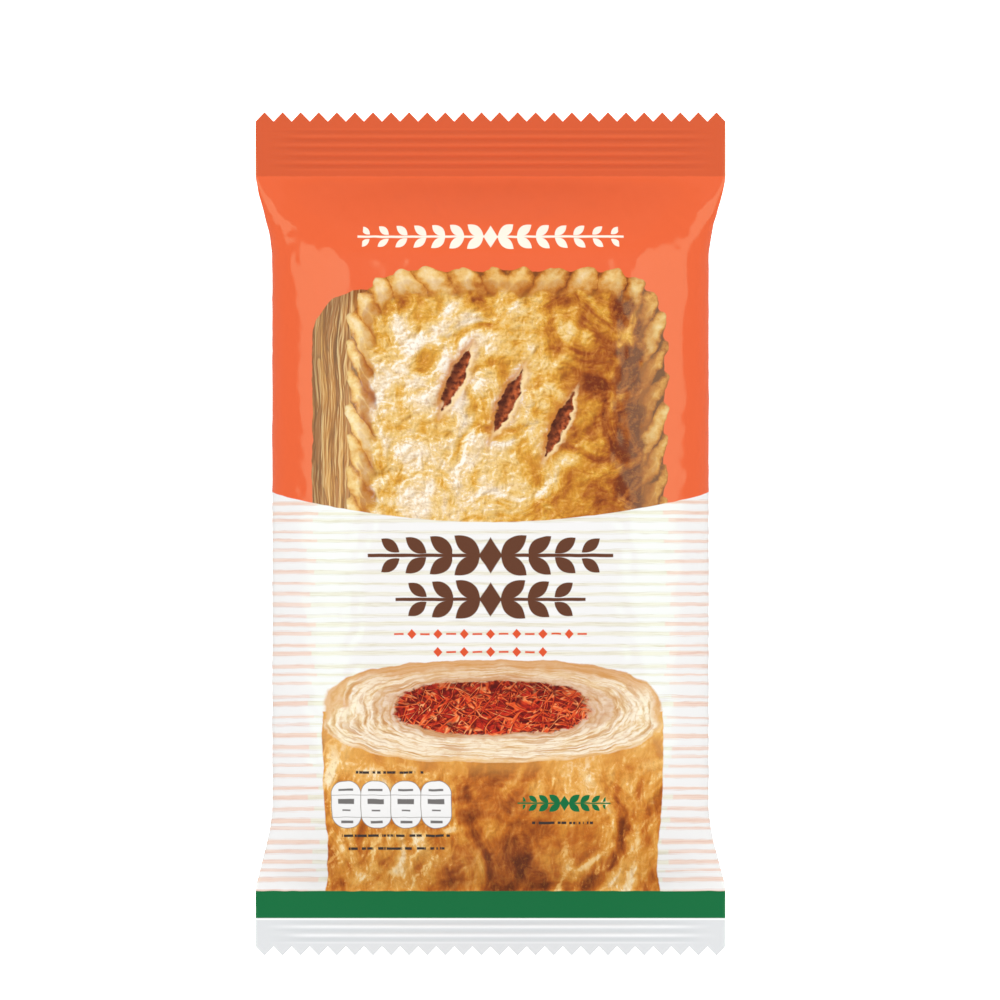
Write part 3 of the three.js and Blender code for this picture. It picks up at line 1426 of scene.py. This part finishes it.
@dataclass(frozen=True)
class Beads:
    """A row of small diamonds and dashes by turns."""

    level: float
    reach: float
    pitch: float = 3.0
    diamond: float = 1.05
    dash: Pair = (1.1, 0.22)
    ink: Ink = Ink(225, 84, 44)

    def draw(self, canvas: Canvas, ground: Tone) -> Field:
        """Return the ground with the row.

        Args:
            canvas: The film of one print zone.
            ground: What is printed so far.

        Returns:
            The colour.
        """
        out = abs(canvas.across)
        up = abs(canvas.along - self.level)
        turn = out / self.pitch + 0.5
        odd = (turn.floor() / 2.0).fraction().over(0.25)
        local = abs(turn.fraction() - 0.5) * self.pitch
        diamond = (local + up * 0.9).under(self.diamond, 0.1)
        dash = corner(local - self.dash[0], up - self.dash[1]).under(0.0, 0.1)
        chosen = diamond * (1.0 - odd) + dash * odd
        return canvas.sheet.mix(chosen * out.under(self.reach), ground, self.ink)


@dataclass(frozen=True)
class Dashes:
    """A fine row of dashes of uneven length."""

    start: float
    end: float
    level: float
    half_height: float = 0.3
    ink: Ink = Ink(58, 50, 46)

    def draw(self, canvas: Canvas, ground: Tone) -> Field:
        """Return the ground with the row.

        Args:
            canvas: The film of one print zone.
            ground: What is printed so far.

        Returns:
            The colour.
        """
        sheet = canvas.sheet
        uneven = sheet.noise(sheet.place(canvas.across * 1.1, self.level), Grain(1.0, 1.0))
        from_middle = abs(canvas.across - (self.start + self.end) / 2.0)
        inside = from_middle.under((self.end - self.start) / 2.0)
        mark = abs(canvas.along - self.level).under(self.half_height, 0.1) * inside
        return sheet.mix(mark * uneven.over(0.44, 0.03), ground, self.ink)


@dataclass(frozen=True)
class Bar:
    """A bar on a tablet: its height over the tablet's middle, and half its width and height."""

    level: float
    half: Pair


@dataclass(frozen=True)
class Tablets:
    """A row of ruled tablets that hold only bars."""

    left: float = -37.0
    level: float = -63.3
    size: Pair = (7.0, 11.0)
    count: int = 4
    rule_level: float = -0.4
    rule_half_gap: float = 2.6
    bars: tuple[Bar, ...] = (
        Bar(3.4, (1.7, 0.25)),
        Bar(0.7, (1.9, 0.6)),
        Bar(-1.4, (1.0, 0.18)),
        Bar(-4.1, (1.4, 0.3)),
    )
    white: Ink = Ink(244, 243, 242)
    bar_ink: Ink = Ink(58, 50, 46)
    line_ink: Ink = Ink(120, 116, 112)

    def draw(self, canvas: Canvas, ground: Tone) -> Field:
        """Return the ground with the tablets.

        Args:
            canvas: The film of one print zone.
            ground: What is printed so far.

        Returns:
            The colour.
        """
        sheet = canvas.sheet
        width, height = self.size
        radius = width * 0.44
        turn = (canvas.across - self.left) / width
        cell = turn.floor().most(0.0).least(self.count - 1.0)
        x = abs((turn - cell - 0.5) * width)
        y = canvas.along - self.level
        edge = corner(x - (width / 2.0 - radius), abs(y) - (height / 2.0 - radius)) - radius
        rules = abs(abs(y - self.rule_level) - self.rule_half_gap).under(0.07, 0.05) * edge.under(0.0)
        line = abs(edge).under(0.09, 0.05).most(rules)
        colour = sheet.mix(edge.under(0.0, 0.08), ground, self.white)
        for bar in self.bars:
            mark = corner(x - bar.half[0], abs(y - bar.level) - bar.half[1]).under(0.0, 0.1)
            colour = sheet.mix(mark * 0.85, colour, self.bar_ink)
        return sheet.mix(line * 0.8, colour, self.line_ink)


@dataclass(frozen=True)
class Bake:
    """Baked crust: blistered, wrinkled, glazed and lit from the upper left.

    Its tones go from the darkest bake to the palest flake. Its shines are what a raised fold
    with the same bake looks like in the light.
    """

    tones: Stops
    shines: Stops
    squeeze: float
    flaking: float
    swelling: float
    blister: Grain = Grain(0.1, 2.0, 0.5, 1.0)
    flake: Grain = Grain(0.4, 5.0, 0.64, 0.8)
    glaze: Grain = Grain(0.085, 5.0, 0.62, 1.2)
    glaze_start: Pair = (310.0, 120.0)
    swell: Grain = Grain(0.075, 2.0, 0.4, 1.4)
    swell_start: Pair = (30.0, 0.0)
    speck: Grain = Grain(1.0, 3.0, 0.66)
    relief_step: float = 0.4
    swell_step: float = 1.4
    shade_ink: Ink = Ink(118, 58, 20)
    speck_ink: Ink = Ink(178, 108, 40)

    def relief(self, canvas: Canvas, step: float) -> Field:
        """Return the height of the blisters and flakes, read a step towards the light."""
        blister = canvas.grain(self.blister, self.squeeze, step=step)
        return blister * 0.8 + canvas.grain(self.flake, self.squeeze, step=step) * self.flaking

    def colour(self, canvas: Canvas, lean: Field) -> Field:
        """Return the crust's colour.

        Args:
            canvas: The film that it is printed on.
            lean: What is added to the bake, above 0 for paler.

        Returns:
            The colour.
        """
        sheet = canvas.sheet
        relief, beyond = (self.relief(canvas, step) for step in (0.0, self.relief_step))
        slope = (relief - beyond) * 4.0
        swell, beyond = (
            canvas.grain(self.swell, self.squeeze, self.swell_start, step)
            for step in (0.0, self.swell_step)
        )
        swelled = (swell - beyond) * self.swelling
        glaze = canvas.grain(self.glaze, self.squeeze, self.glaze_start)
        paleness = glaze * 0.85 + relief * 0.4 - 0.125 + lean + swelled * 0.14
        shine = sheet.ramp(paleness, self.shines)
        colour = sheet.ramp(paleness, self.tones)
        colour = sheet.flanks(colour, slope, (0.65, shine), (0.55, self.shade_ink))
        gloss = (swelled * 0.8 + slope * 0.9 + glaze - 0.5 + lean * 2.0).over(0.5, 0.14)
        colour = sheet.mix(gloss * 0.55, colour, shine)
        speck = canvas.grain(self.speck, self.squeeze)
        colour = sheet.mix(speck.under(0.42, 0.05) * 0.3, colour, self.speck_ink)
        glint = (slope * 0.6 + glaze * 0.4 + speck * 0.75 + lean).over(0.76, 0.05)
        return sheet.mix(glint * 0.7, colour, shine)


@dataclass(frozen=True)
class Layers:
    """Thin upright layers, as a cut side of puff pastry shows, darker at their border."""

    tones: Stops = (
        (0.3, Ink(110, 58, 22)),
        (0.42, Ink(154, 88, 32)),
        (0.52, Ink(188, 120, 52)),
        (0.62, Ink(214, 154, 80)),
        (0.74, Ink(176, 108, 46)),
    )
    lit_ink: Ink = Ink(250, 218, 156)
    shaded_ink: Ink = Ink(110, 56, 22)
    gap_inks: tuple[Ink, Ink] = (Ink(124, 68, 30), Ink(178, 112, 60))
    border_ink: Ink = Ink(118, 58, 20)
    relief_step: float = 0.3

    def relief(self, canvas: Canvas, bend: Field, step: float) -> Field:
        """Return the height of the layers, read a step to the left.

        Args:
            canvas: The film that it is printed on.
            bend: Noise that bends the layers.
            step: How far to the left it is read.

        Returns:
            The height, around 0.5.
        """
        across = canvas.across - step + bend * 4.0
        place = canvas.sheet.place(across * 0.5, canvas.along * 0.028)
        return canvas.sheet.noise(place, Grain(1.0, 4.0, 0.7))

    def colour(self, canvas: Canvas, edge: Field) -> Field:
        """Return the layers' colour.

        Args:
            canvas: The film that it is printed on.
            edge: The distance to the layers' outline, below 0 inside.

        Returns:
            The colour.
        """
        sheet = canvas.sheet
        bend = canvas.streaks(0.14, 0.04, 1.0)
        relief, beyond = (self.relief(canvas, bend, step) for step in (0.0, self.relief_step))
        layers = sheet.flanks(
            sheet.ramp(relief, self.tones),
            (relief - beyond) * 6.0,
            (0.6, self.lit_ink),
            (0.75, self.shaded_ink),
        )
        place = sheet.place(canvas.across * 0.5 + bend * 3.0, canvas.along * 0.055)
        gap = sheet.noise(place, Grain(1.0, 1.0))
        gap_colour = sheet.mix(gap.over(0.63, 0.03), *self.gap_inks)
        layers = sheet.mix(gap.over(0.6, 0.012) * 0.7, layers, gap_colour)
        return sheet.mix((edge + 2.4).over(0.0, 2.2) * 0.4, layers, self.border_ink)


@dataclass(frozen=True)
class RopeRim:
    """The pressed lobes that run round a crust like a rope."""

    pitch: float = 7.4
    depth: float = 5.6
    tones: Stops = (
        (0.0, Ink(116, 56, 18)),
        (0.22, Ink(184, 106, 32)),
        (0.45, Ink(222, 158, 70)),
        (0.7, Ink(240, 200, 126)),
        (1.0, Ink(250, 228, 184)),
    )
    crumb: Grain = Grain(0.5, 4.0, 0.62)
    pit_ink: Ink = Ink(172, 92, 26)
    groove_ink: Ink = Ink(150, 78, 26)

    def colour(self, canvas: Canvas, crust: Field, run: Field, edge: Field, x: Field) -> Field:
        """Return the crust's colour with its rim.

        Args:
            canvas: The film that it is printed on.
            crust: The crust's colour.
            run: Where round the rim a place is.
            edge: The distance to the crust's outline, below 0 inside.
            x: Places across the crust from its middle.

        Returns:
            The colour.
        """
        sheet = canvas.sheet
        turn = run / self.pitch
        lobe = (turn + 0.5).floor()
        browned, _, height = sheet.drawn(lobe)
        across = abs(turn - lobe) * 2.0
        down = (edge + self.depth * 0.45) / (self.depth * 0.62)
        crumb = canvas.grain(self.crumb) - 0.5
        mound = 1.0 - across * across * (0.55 + 0.3 * height) - down * down * 0.4
        bake = mound * 0.8 + crumb * 1.1 - browned * 0.24 - x * 0.004 + 0.03
        rim = (edge + self.depth + crumb * 3.0).over(0.0, 0.9)
        colour = sheet.mix(rim * 0.85, crust, sheet.ramp(bake, self.tones))
        from_pit = across * across + (down + 0.55) * (down + 0.55) * 1.4
        pit = (1.0 - from_pit + across * 1.2 + crumb * 0.9).over(1.0, 0.16)
        colour = sheet.mix(pit * rim * (0.2 + 0.5 * browned), colour, self.pit_ink)
        return sheet.mix(abs(edge + self.depth).under(0.0, 1.0) * 0.3, colour, self.groove_ink)


@dataclass(frozen=True)
class Slits:
    """Slanting slits cut into a crust, with a raised lip and a dark inside."""

    centre: Pair = (4.0, 31.0)
    count: int = 3
    pitch: float = 13.0
    slant: float = math.radians(-24.0)
    half: Pair = (1.8, 8.5)
    ruffle: Grain = Grain(0.4)
    crumbs: Grain = Grain(0.8)
    lip_inks: tuple[Ink, Ink] = (Ink(196, 118, 44), Ink(254, 226, 172))
    browned_ink: Ink = Ink(200, 128, 56)
    inner_tones: Stops = ((0.38, Ink(104, 40, 16)), (0.62, Ink(196, 96, 48)))
    deep_ink: Ink = Ink(64, 24, 12)

    def draw(self, canvas: Canvas, ground: Tone) -> Field:
        """Return the crust with the slits.

        Args:
            canvas: The film that it is printed on.
            ground: The crust's colour.

        Returns:
            The colour.
        """
        sheet = canvas.sheet
        x, y = canvas.across - self.centre[0], canvas.along - self.centre[1]
        across, along = turned(x, y, self.slant)
        local = across - (across / self.pitch + 0.5).floor() * self.pitch
        length = along / self.half[1]
        ruffle = canvas.grain(self.ruffle) - 0.5
        slit = length * length + abs(local) / self.half[0] + ruffle * 1.5
        chosen = abs(across).under(self.pitch * self.count / 2.0)
        colour = sheet.mix(slit.under(1.9, 0.6) * chosen * 0.4, ground, self.browned_ink)
        lip = sheet.mix((local + ruffle * 2.0).over(0.0, 1.2), *self.lip_inks)
        colour = sheet.mix(slit.under(1.4, 0.25) * chosen * 0.8, colour, lip)
        inner = sheet.ramp(canvas.grain(self.crumbs), self.inner_tones)
        inner = sheet.mix((local + ruffle).under(0.1, 0.8) * 0.75, inner, self.deep_ink)
        return sheet.mix(slit.under(0.95, 0.12) * chosen, colour, inner)


@dataclass(frozen=True)
class WholePastry:
    """A whole pastry seen from above: a rope-crimped crust with slits, and a layered side."""

    centre: Pair = (4.0, 21.5)
    half: Pair = (36.8, 40.5)
    corner: float = 15.0
    side_centre: Pair = (-1.0, 18.5)
    side_half: Pair = (40.6, 38.5)
    side_corner: float = 12.0
    lit_centre: Pair = (-12.0, 6.0)
    lit_area: float = 500.0
    bake: Bake = Bake(
        tones=(
            (0.24, Ink(116, 44, 12)),
            (0.34, Ink(166, 84, 20)),
            (0.43, Ink(206, 134, 34)),
            (0.5, Ink(228, 168, 60)),
            (0.58, Ink(240, 200, 120)),
            (0.72, Ink(249, 230, 200)),
        ),
        shines=(
            (0.3, Ink(206, 122, 48)),
            (0.42, Ink(240, 178, 92)),
            (0.52, Ink(255, 226, 158)),
            (0.64, Ink(255, 250, 238)),
        ),
        squeeze=1.0,
        flaking=0.4,
        swelling=2.6,
    )
    layers: Layers = Layers()
    rim: RopeRim = RopeRim()
    slits: Slits = Slits()
    ripple: Grain = Grain(0.2, 2.0)
    outline_ink: Ink = Ink(118, 58, 20)

    def lean(self, x: Field, y: Field, edge: Field) -> Field:
        """Return how pale the crust is baked: palest where it is lit, darker right and at its rim.

        Args:
            x: Places across the crust from its middle.
            y: Places along the crust from its middle.
            edge: The distance to the crust's outline, below 0 inside.

        Returns:
            What is added to the bake, above 0 for paler.
        """
        over_x, over_y = x - self.lit_centre[0], y - self.lit_centre[1]
        lit = (over_x * over_x + over_y * over_y).under(self.lit_area, self.lit_area)
        sides = (x - 4.0).most(0.0) * 0.0081 + (x + 4.0).least(0.0) * 0.0016
        return lit * 0.075 - 0.026 - sides - (edge + 10.0).most(0.0) * 0.005

    def draw(self, canvas: Canvas, ground: Tone) -> Field:
        """Return the ground with the pastry.

        Args:
            canvas: The film of one print zone.
            ground: What is printed so far.

        Returns:
            The colour.
        """
        sheet = canvas.sheet
        ripple = canvas.grain(self.ripple) - 0.5
        side = canvas.rounded_box(self.side_centre, self.side_half, self.side_corner) + ripple * 1.4
        colour = sheet.mix(side.under(0.0, 0.12), ground, self.layers.colour(canvas, side))
        crust = canvas.rounded_box(self.centre, self.half, self.corner)
        x, y = canvas.across - self.centre[0], canvas.along - self.centre[1]
        run = abs(x) - y + crust * 0.5 + ripple * 6.0
        edge = crust - run.wave(self.rim.pitch) * 0.6 + ripple * 2.0
        top = self.bake.colour(canvas, self.lean(x, y, edge))
        top = self.slits.draw(canvas, self.rim.colour(canvas, top, run, edge, x))
        top = sheet.mix(abs(edge).under(0.0, 0.7) * 0.4, top, self.outline_ink)
        return sheet.mix(edge.under(0.0, 0.12), colour, top)


@dataclass(frozen=True)
class Filling:
    """Shredded filling: layers of crossing strands, each with its shadow."""

    half: Pair = (22.5, 6.2)
    angles: tuple[float, ...] = (80.0, 20.0, 140.0, -15.0, 50.0)
    crumb: Grain = Grain(0.5, 3.0, 0.62, 0.6)
    crumb_squeeze: float = 1.4
    ground_tones: Stops = (
        (0.38, Ink(78, 6, 2)),
        (0.48, Ink(150, 20, 8)),
        (0.6, Ink(204, 44, 18)),
    )
    strand_tones: Stops = (
        (0.34, Ink(168, 28, 10)),
        (0.44, Ink(218, 62, 22)),
        (0.54, Ink(240, 102, 42)),
        (0.66, Ink(254, 172, 112)),
    )
    shadow_ink: Ink = Ink(92, 8, 2)
    deep_ink: Ink = Ink(96, 16, 4)

    def colour(self, canvas: Canvas, well: Field, y: Field) -> Field:
        """Return the filling's colour.

        Args:
            canvas: The film that it is printed on.
            well: How far from the filling's middle a place is, 1 at its edge.
            y: Places along the pack from the middle of the cut.

        Returns:
            The colour.
        """
        sheet = canvas.sheet
        colour = sheet.ramp(canvas.grain(self.crumb, self.crumb_squeeze), self.ground_tones)
        for layer, angle in enumerate(self.angles):
            along, over = turned(canvas.across, canvas.along, math.radians(angle))
            place = sheet.place(along * 0.1, over * 0.34, layer * 7.0)
            weave = sheet.noise(place, Grain(1.0, 1.0, 0.5, 1.0))
            colour = sheet.mix(abs(weave - 0.528).under(0.03, 0.03) * 0.8, colour, self.shadow_ink)
            place = sheet.place(along * 0.2, over * 0.7, layer * 3.0)
            strand = sheet.ramp(sheet.noise(place, Grain(1.0, 2.0, 0.6)), self.strand_tones)
            colour = sheet.mix(abs(weave - 0.5).under(0.019, 0.01), colour, strand)
        shade = (well * 0.5 + y * 0.05).over(0.62, 0.3)
        return sheet.mix(shade * 0.45, colour, self.deep_ink)


@dataclass(frozen=True)
class CutPastry:
    """A pastry stood on end and cut open: a leafy cut with a filling, and the baked wall under it."""

    centre: Pair = (0.6, -41.5)
    half: Pair = (39.6, 12.0)
    bake: Bake = Bake(
        tones=(
            (0.26, Ink(98, 40, 10)),
            (0.37, Ink(148, 70, 18)),
            (0.46, Ink(192, 104, 28)),
            (0.55, Ink(218, 142, 50)),
            (0.65, Ink(236, 174, 84)),
            (0.8, Ink(247, 206, 136)),
        ),
        shines=(
            (0.34, Ink(204, 122, 48)),
            (0.48, Ink(240, 176, 90)),
            (0.6, Ink(252, 212, 136)),
            (0.74, Ink(255, 240, 206)),
        ),
        squeeze=0.7,
        flaking=0.34,
        swelling=5.2,
    )
    filling: Filling = Filling()
    leaf_tones: Stops = (
        (0.3, Ink(216, 168, 112)),
        (0.42, Ink(240, 212, 168)),
        (0.54, Ink(250, 234, 208)),
        (0.68, Ink(244, 222, 186)),
    )
    leaf_step: float = 0.016
    ruffle: Grain = Grain(0.16)
    crumb: Grain = Grain(0.5, 3.0, 0.66)
    crumb_squeeze: float = 2.2
    boldness: Grain = Grain(0.07, 2.0)
    boldness_start: Pair = (70.0, 40.0)
    under_lip_ink: Ink = Ink(228, 164, 78)
    lit_ink: Ink = Ink(255, 250, 238)
    shaded_ink: Ink = Ink(184, 128, 76)
    gap_ink: Ink = Ink(204, 148, 92)
    crumb_ink: Ink = Ink(218, 164, 104)
    browned_ink: Ink = Ink(218, 150, 74)
    back_ink: Ink = Ink(208, 150, 88)
    lip_ink: Ink = Ink(240, 186, 100)
    soaked_ink: Ink = Ink(190, 116, 60)
    outline_ink: Ink = Ink(196, 120, 52)

    def draw(self, canvas: Canvas, ground: Tone) -> Field:
        """Return the ground with the pastry.

        Args:
            canvas: The film of one print zone.
            ground: What is printed so far.

        Returns:
            The colour.
        """
        sheet = canvas.sheet
        x, y = canvas.across - self.centre[0], canvas.along - self.centre[1]
        ruffle = canvas.grain(self.ruffle) - 0.5
        radius = oval(x, y, self.half) + ruffle * 0.13
        wall_edge = abs(x) - self.half[0] + ruffle * 1.6 - y * 0.012
        wall = wall_edge.under(0.0, 0.15) * y.under(0.0, 0.1)
        colour = sheet.mix(wall, ground, self.wall(canvas, x, y, radius))
        face = self.leaves(sheet, x, y, radius, canvas.grain(self.boldness, 1.0, self.boldness_start))
        crumb = canvas.grain(self.crumb, self.crumb_squeeze)
        face = sheet.mix(crumb.under(0.44, 0.08) * 0.35, face, self.crumb_ink)
        browned = (radius + y * 0.011 + ruffle * 0.4).over(0.96, 0.07)
        face = sheet.mix(browned * 0.65, face, self.browned_ink)
        face = sheet.mix(y.over(7.5, 2.5) * 0.45, face, self.back_ink)
        lip = (radius - y * 0.008 + ruffle * 0.2).over(1.03, 0.06)
        face = sheet.mix(lip * 0.55, face, self.lip_ink)
        well = oval(x, y - 0.9, self.filling.half) + ruffle * 0.3 + (crumb - 0.5) * 0.22
        face = sheet.mix(well.under(1.16, 0.14) * 0.5, face, self.soaked_ink)
        face = sheet.mix(well.under(1.0, 0.04), face, self.filling.colour(canvas, well, y))
        face = sheet.mix(abs(radius - 0.99).under(0.0, 0.03) * 0.4, face, self.outline_ink)
        return sheet.mix(radius.under(1.0, 0.012), colour, face)

    def wall(self, canvas: Canvas, x: Field, y: Field, radius: Field) -> Field:
        """Return the colour of the baked wall: darkest in the middle, golden under the lip.

        Args:
            canvas: The film that it is printed on.
            x: Places across the pack from the middle of the cut.
            y: Places along the pack from the middle of the cut.
            radius: How far from that middle a place is, 1 at the cut's edge.

        Returns:
            The colour.
        """
        turn = x / self.half[0]
        square = turn * turn
        middle = (square * -6.0 + 1.0).most(0.0)
        lean = y * 0.0003 + 0.056 - square * square * 0.04 - middle * 0.15 - turn * 0.026
        wall = self.bake.colour(canvas, lean)
        return canvas.sheet.mix(radius.under(1.2, 0.18) * 0.5, wall, self.under_lip_ink)

    def leaves(self, sheet: NodeSheet, x: Field, y: Field, radius: Field, boldness: Field) -> Field:
        """Return the colour of the thin leaves that run round the cut.

        Args:
            sheet: The material's nodes.
            x: Places across the pack from the middle of the cut.
            y: Places along the pack from the middle of the cut.
            radius: How far from that middle a place is, 1 at the cut's edge.
            boldness: Noise that makes the leaves bolder here and there.

        Returns:
            The colour.
        """
        relief, beyond = (
            sheet.noise(sheet.place((radius + step) * 22.0, x * 0.1, y * 0.22), Grain(1.0, 3.0, 0.6))
            for step in (0.0, self.leaf_step)
        )
        bold = boldness.over(0.52, 0.14)
        face = sheet.flanks(
            sheet.ramp(relief, self.leaf_tones),
            (relief - beyond) * (1.7 + bold * 2.2),
            (0.7, self.lit_ink),
            (0.55, self.shaded_ink),
        )
        gap = sheet.noise(sheet.place(radius * 13.0, x * 0.06, y * 0.12), Grain(1.0, 2.0))
        return sheet.mix(gap.over(0.6, 0.02) * (0.25 + bold * 0.5), face, self.gap_ink)


CREAM = Ink(253, 244, 228)
GREEN = Ink(6, 110, 60)
BROWN = Ink(101, 59, 39)

# What each zone shows, from the ground up.
PRINTED: Mapping[Zone, Sequence[Motif]] = {
    Zone.HEAD: (
        HeadSeal(),
        Sprig(level=69.6, reach=30.0, pitch=4.3, leaf=2.3, ink=CREAM),
        WholePastry(),
        Stripes(),
    ),
    Zone.FOOT: (
        Stripes(),
        CutPastry(),
        Tablets(),
        Sprig(level=-63.0, reach=9.6, pitch=2.5, leaf=1.6, ink=GREEN, centre=17.0),
        Dashes(-31.0, -15.0, -55.8),
        Dashes(-35.0, -9.4, -70.6),
        Dashes(-33.6, -10.8, -73.6),
        Dashes(9.6, 24.6, -67.6),
        Sprig(level=-5.0, reach=27.0, pitch=5.9, leaf=3.75, ink=BROWN),
        Sprig(level=-15.3, reach=20.6, pitch=5.8, leaf=3.6, ink=BROWN),
        Beads(level=-23.4, reach=22.4),
        Beads(level=-27.6, reach=13.6),
        FootBands(),
    ),
    Zone.BACK: (
        HeadSeal(),
        Stripes(),
        Panel(centre=(-27.0, -36.0), half=(19.5, 34.0)),
        Panel(centre=(30.5, -36.0), half=(16.0, 34.0)),
        FootBands(),
    ),
}


@dataclass(frozen=True)
class FilmFinish:
    """Glossy printed packaging film, a little uneven."""

    pillow: Pillow
    ground: Ink = Ink(237, 102, 56)
    refraction: float = 1.47
    roughness: float = 0.1
    unevenness: float = 0.06
    handled: Grain = Grain(0.07, 3.0, 0.6)
    ripple: Grain = Grain(0.16, 2.0)
    ripple_squeeze: float = 0.6
    ripple_height: float = 0.02

    def materials(self) -> list[bpy.types.Material]:
        """Return the material of each print zone, in the order of their numbers."""
        return [self.material(zone) for zone in Zone]

    def material(self, zone: Zone) -> bpy.types.Material:
        """Return the material of one print zone.

        Args:
            zone: The zone that is meant.

        Returns:
            The material.
        """
        made = bpy.data.materials.new("film_" + zone.name.lower())
        made.use_nodes = True
        sheet = NodeSheet(made.node_tree)
        canvas = Canvas(sheet, self.pillow, zone)
        colour: Tone = self.ground
        for motif in PRINTED[zone]:
            colour = motif.draw(canvas, colour)
        ripple = canvas.grain(self.ripple, self.ripple_squeeze)
        bump = sheet.node(
            "Bump", None, {"Strength": 1.0, "Distance": self.ripple_height * MM, "Height": ripple}
        )
        roughness = self.roughness + (canvas.grain(self.handled) - 0.3) * self.unevenness
        shader = sheet.node(
            "BsdfPrincipled",
            None,
            {
                "Base Color": colour,
                "Roughness": roughness,
                "IOR": self.refraction,
                "Normal": Field(sheet, bump.outputs[0]),
            },
        )
        sheet.show(shader)
        return made


@dataclass(frozen=True)
class FloorPaint:
    """Pale matt paint that glows, so that the floor stays plain."""

    pale: float = 0.95
    roughness: float = 0.9
    glow: float = 1.0

    def material(self) -> bpy.types.Material:
        """Return the floor's material.

        Returns:
            The material.
        """
        made = bpy.data.materials.new("pale_floor")
        made.use_nodes = True
        sheet = NodeSheet(made.node_tree)
        inputs = {
            "Base Color": (self.pale, self.pale, self.pale, 1.0),
            "Roughness": self.roughness,
            "Emission Color": (*WHITE_LIGHT, 1.0),
            "Emission Strength": self.glow,
        }
        sheet.show(sheet.node("BsdfPrincipled", None, inputs))
        return made


class Use(Enum):
    """What a lamp is there for."""

    FILL = "light on surfaces"
    SHINE = "an oval that the film mirrors"


@dataclass(frozen=True)
class Lamp:
    """One soft box of the studio. Metres and watts."""

    name: str
    use: Use
    place: tuple[float, float, float]
    size: tuple[float, float]
    power: float


@dataclass
class Studio:
    """A pale floor, soft light and a camera that looks straight down. Metres."""

    frame_width: float = 0.23404
    frame_centre: tuple[float, float] = (0.00222, 0.00796)
    camera_height: float = 0.6
    floor_reach: float = 2.5
    floor_gap: float = 0.0001
    paint: FloorPaint = FloorPaint()
    sky: float = 0.3
    shine_tint: tuple[float, float, float] = (0.6, 1.0, 0.66)
    lamps: tuple[Lamp, ...] = (
        Lamp("left_box", Use.SHINE, (-0.55, 0.18, 0.71), (0.56, 0.86), 2.4),
        Lamp("right_box", Use.SHINE, (0.55, 0.18, 0.67), (0.56, 0.86), 2.4),
        Lamp("head_box", Use.FILL, (0.0, 0.7, 0.35), (0.6, 0.3), 0.6),
        Lamp("ceiling", Use.FILL, (0.0, 0.0, 2.0), (3.0, 3.0), 60.0),
    )

    def build(self) -> None:
        """Build the floor, the lights and the camera."""
        self.floor()
        self.sky_light()
        for lamp in self.lamps:
            self.hang(lamp)
        self.camera()
        LOG.info("studio: %d lamps", len(self.lamps))

    def floor(self) -> None:
        """Lay the pale floor."""
        mesh = bpy.data.meshes.new("floor")
        ways = ((-1.0, -1.0), (1.0, -1.0), (1.0, 1.0), (-1.0, 1.0))
        corners = [(x * self.floor_reach, y * self.floor_reach, -self.floor_gap) for x, y in ways]
        mesh.from_pydata(corners, [], [(0, 1, 2, 3)])
        mesh.materials.append(self.paint.material())
        floor = placed("floor", mesh)
        floor.visible_glossy = False

    def sky_light(self) -> None:
        """Light the scene all round. The sky is dim, but where it is seen it is as pale as the floor."""
        world = bpy.data.worlds.new("studio")
        world.use_nodes = True
        sheet = NodeSheet(world.node_tree)
        seen = Field(sheet, sheet.node("LightPath").outputs["Is Camera Ray"])
        strength = self.sky + seen * (self.paint.glow - self.sky)
        shine = sheet.node("Background", None, {"Color": (*WHITE_LIGHT, 1.0), "Strength": strength})
        sheet.show(shine, "OutputWorld")
        bpy.context.scene.world = world

    def hang(self, lamp: Lamp) -> None:
        """Hang a lamp. A lamp to be mirrored faces straight across, the others face the pack.

        Args:
            lamp: The lamp.
        """
        mirrored = lamp.use is Use.SHINE
        data = bpy.data.lights.new(lamp.name, "AREA")
        data.shape = "ELLIPSE" if mirrored else "RECTANGLE"
        data.size, data.size_y = lamp.size
        data.energy = lamp.power
        data.color = self.shine_tint if mirrored else WHITE_LIGHT
        hung = placed(lamp.name, data)
        hung.location = lamp.place
        aim = Vector((0.0, *lamp.place[1:])) if mirrored else Vector()
        hung.rotation_euler = (aim - Vector(lamp.place)).to_track_quat("-Z", "Y").to_euler()
        hung.visible_camera = False
        hung.visible_glossy = mirrored
        hung.visible_diffuse = not mirrored

    def camera(self) -> None:
        """Set the camera over the pack, as wide as the photograph."""
        data = bpy.data.cameras.new("camera")
        data.type = "ORTHO"
        data.ortho_scale = self.frame_width
        camera = placed("camera", data)
        camera.location = (*self.frame_centre, self.camera_height)
        bpy.context.scene.camera = camera
        bpy.context.scene.view_settings.view_transform = "Standard"


def dress(piece: bpy.types.Object, materials: Sequence[bpy.types.Material]) -> None:
    """Dress a piece and let it ride on the pack's body.

    Args:
        piece: The piece.
        materials: Its materials, in the order of their numbers.
    """
    for material in materials:
        piece.data.materials.append(material)
    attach(piece, BODY)
    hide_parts(FILM_NODE)
    LOG.info("%s: %d faces", piece.name, len(piece.data.polygons))


def main() -> None:
    """Build the pack, dress it and set the studio."""
    logging.basicConfig(level=logging.INFO, format="%(name)s: %(message)s")
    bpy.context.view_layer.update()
    low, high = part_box(FILM_NODE)
    pillow = Pillow(width=(high.x - low.x) / MM, length=(high.y - low.y) / MM)
    film = PackFilm(pillow, FilmSlack(pillow))
    materials = FilmFinish(pillow).materials()
    dress(film.build(), materials)
    dress(BackSeam(film).build(), [materials[Zone.BACK.value]])
    Studio().build()


if __name__ == "__main__":
    main()
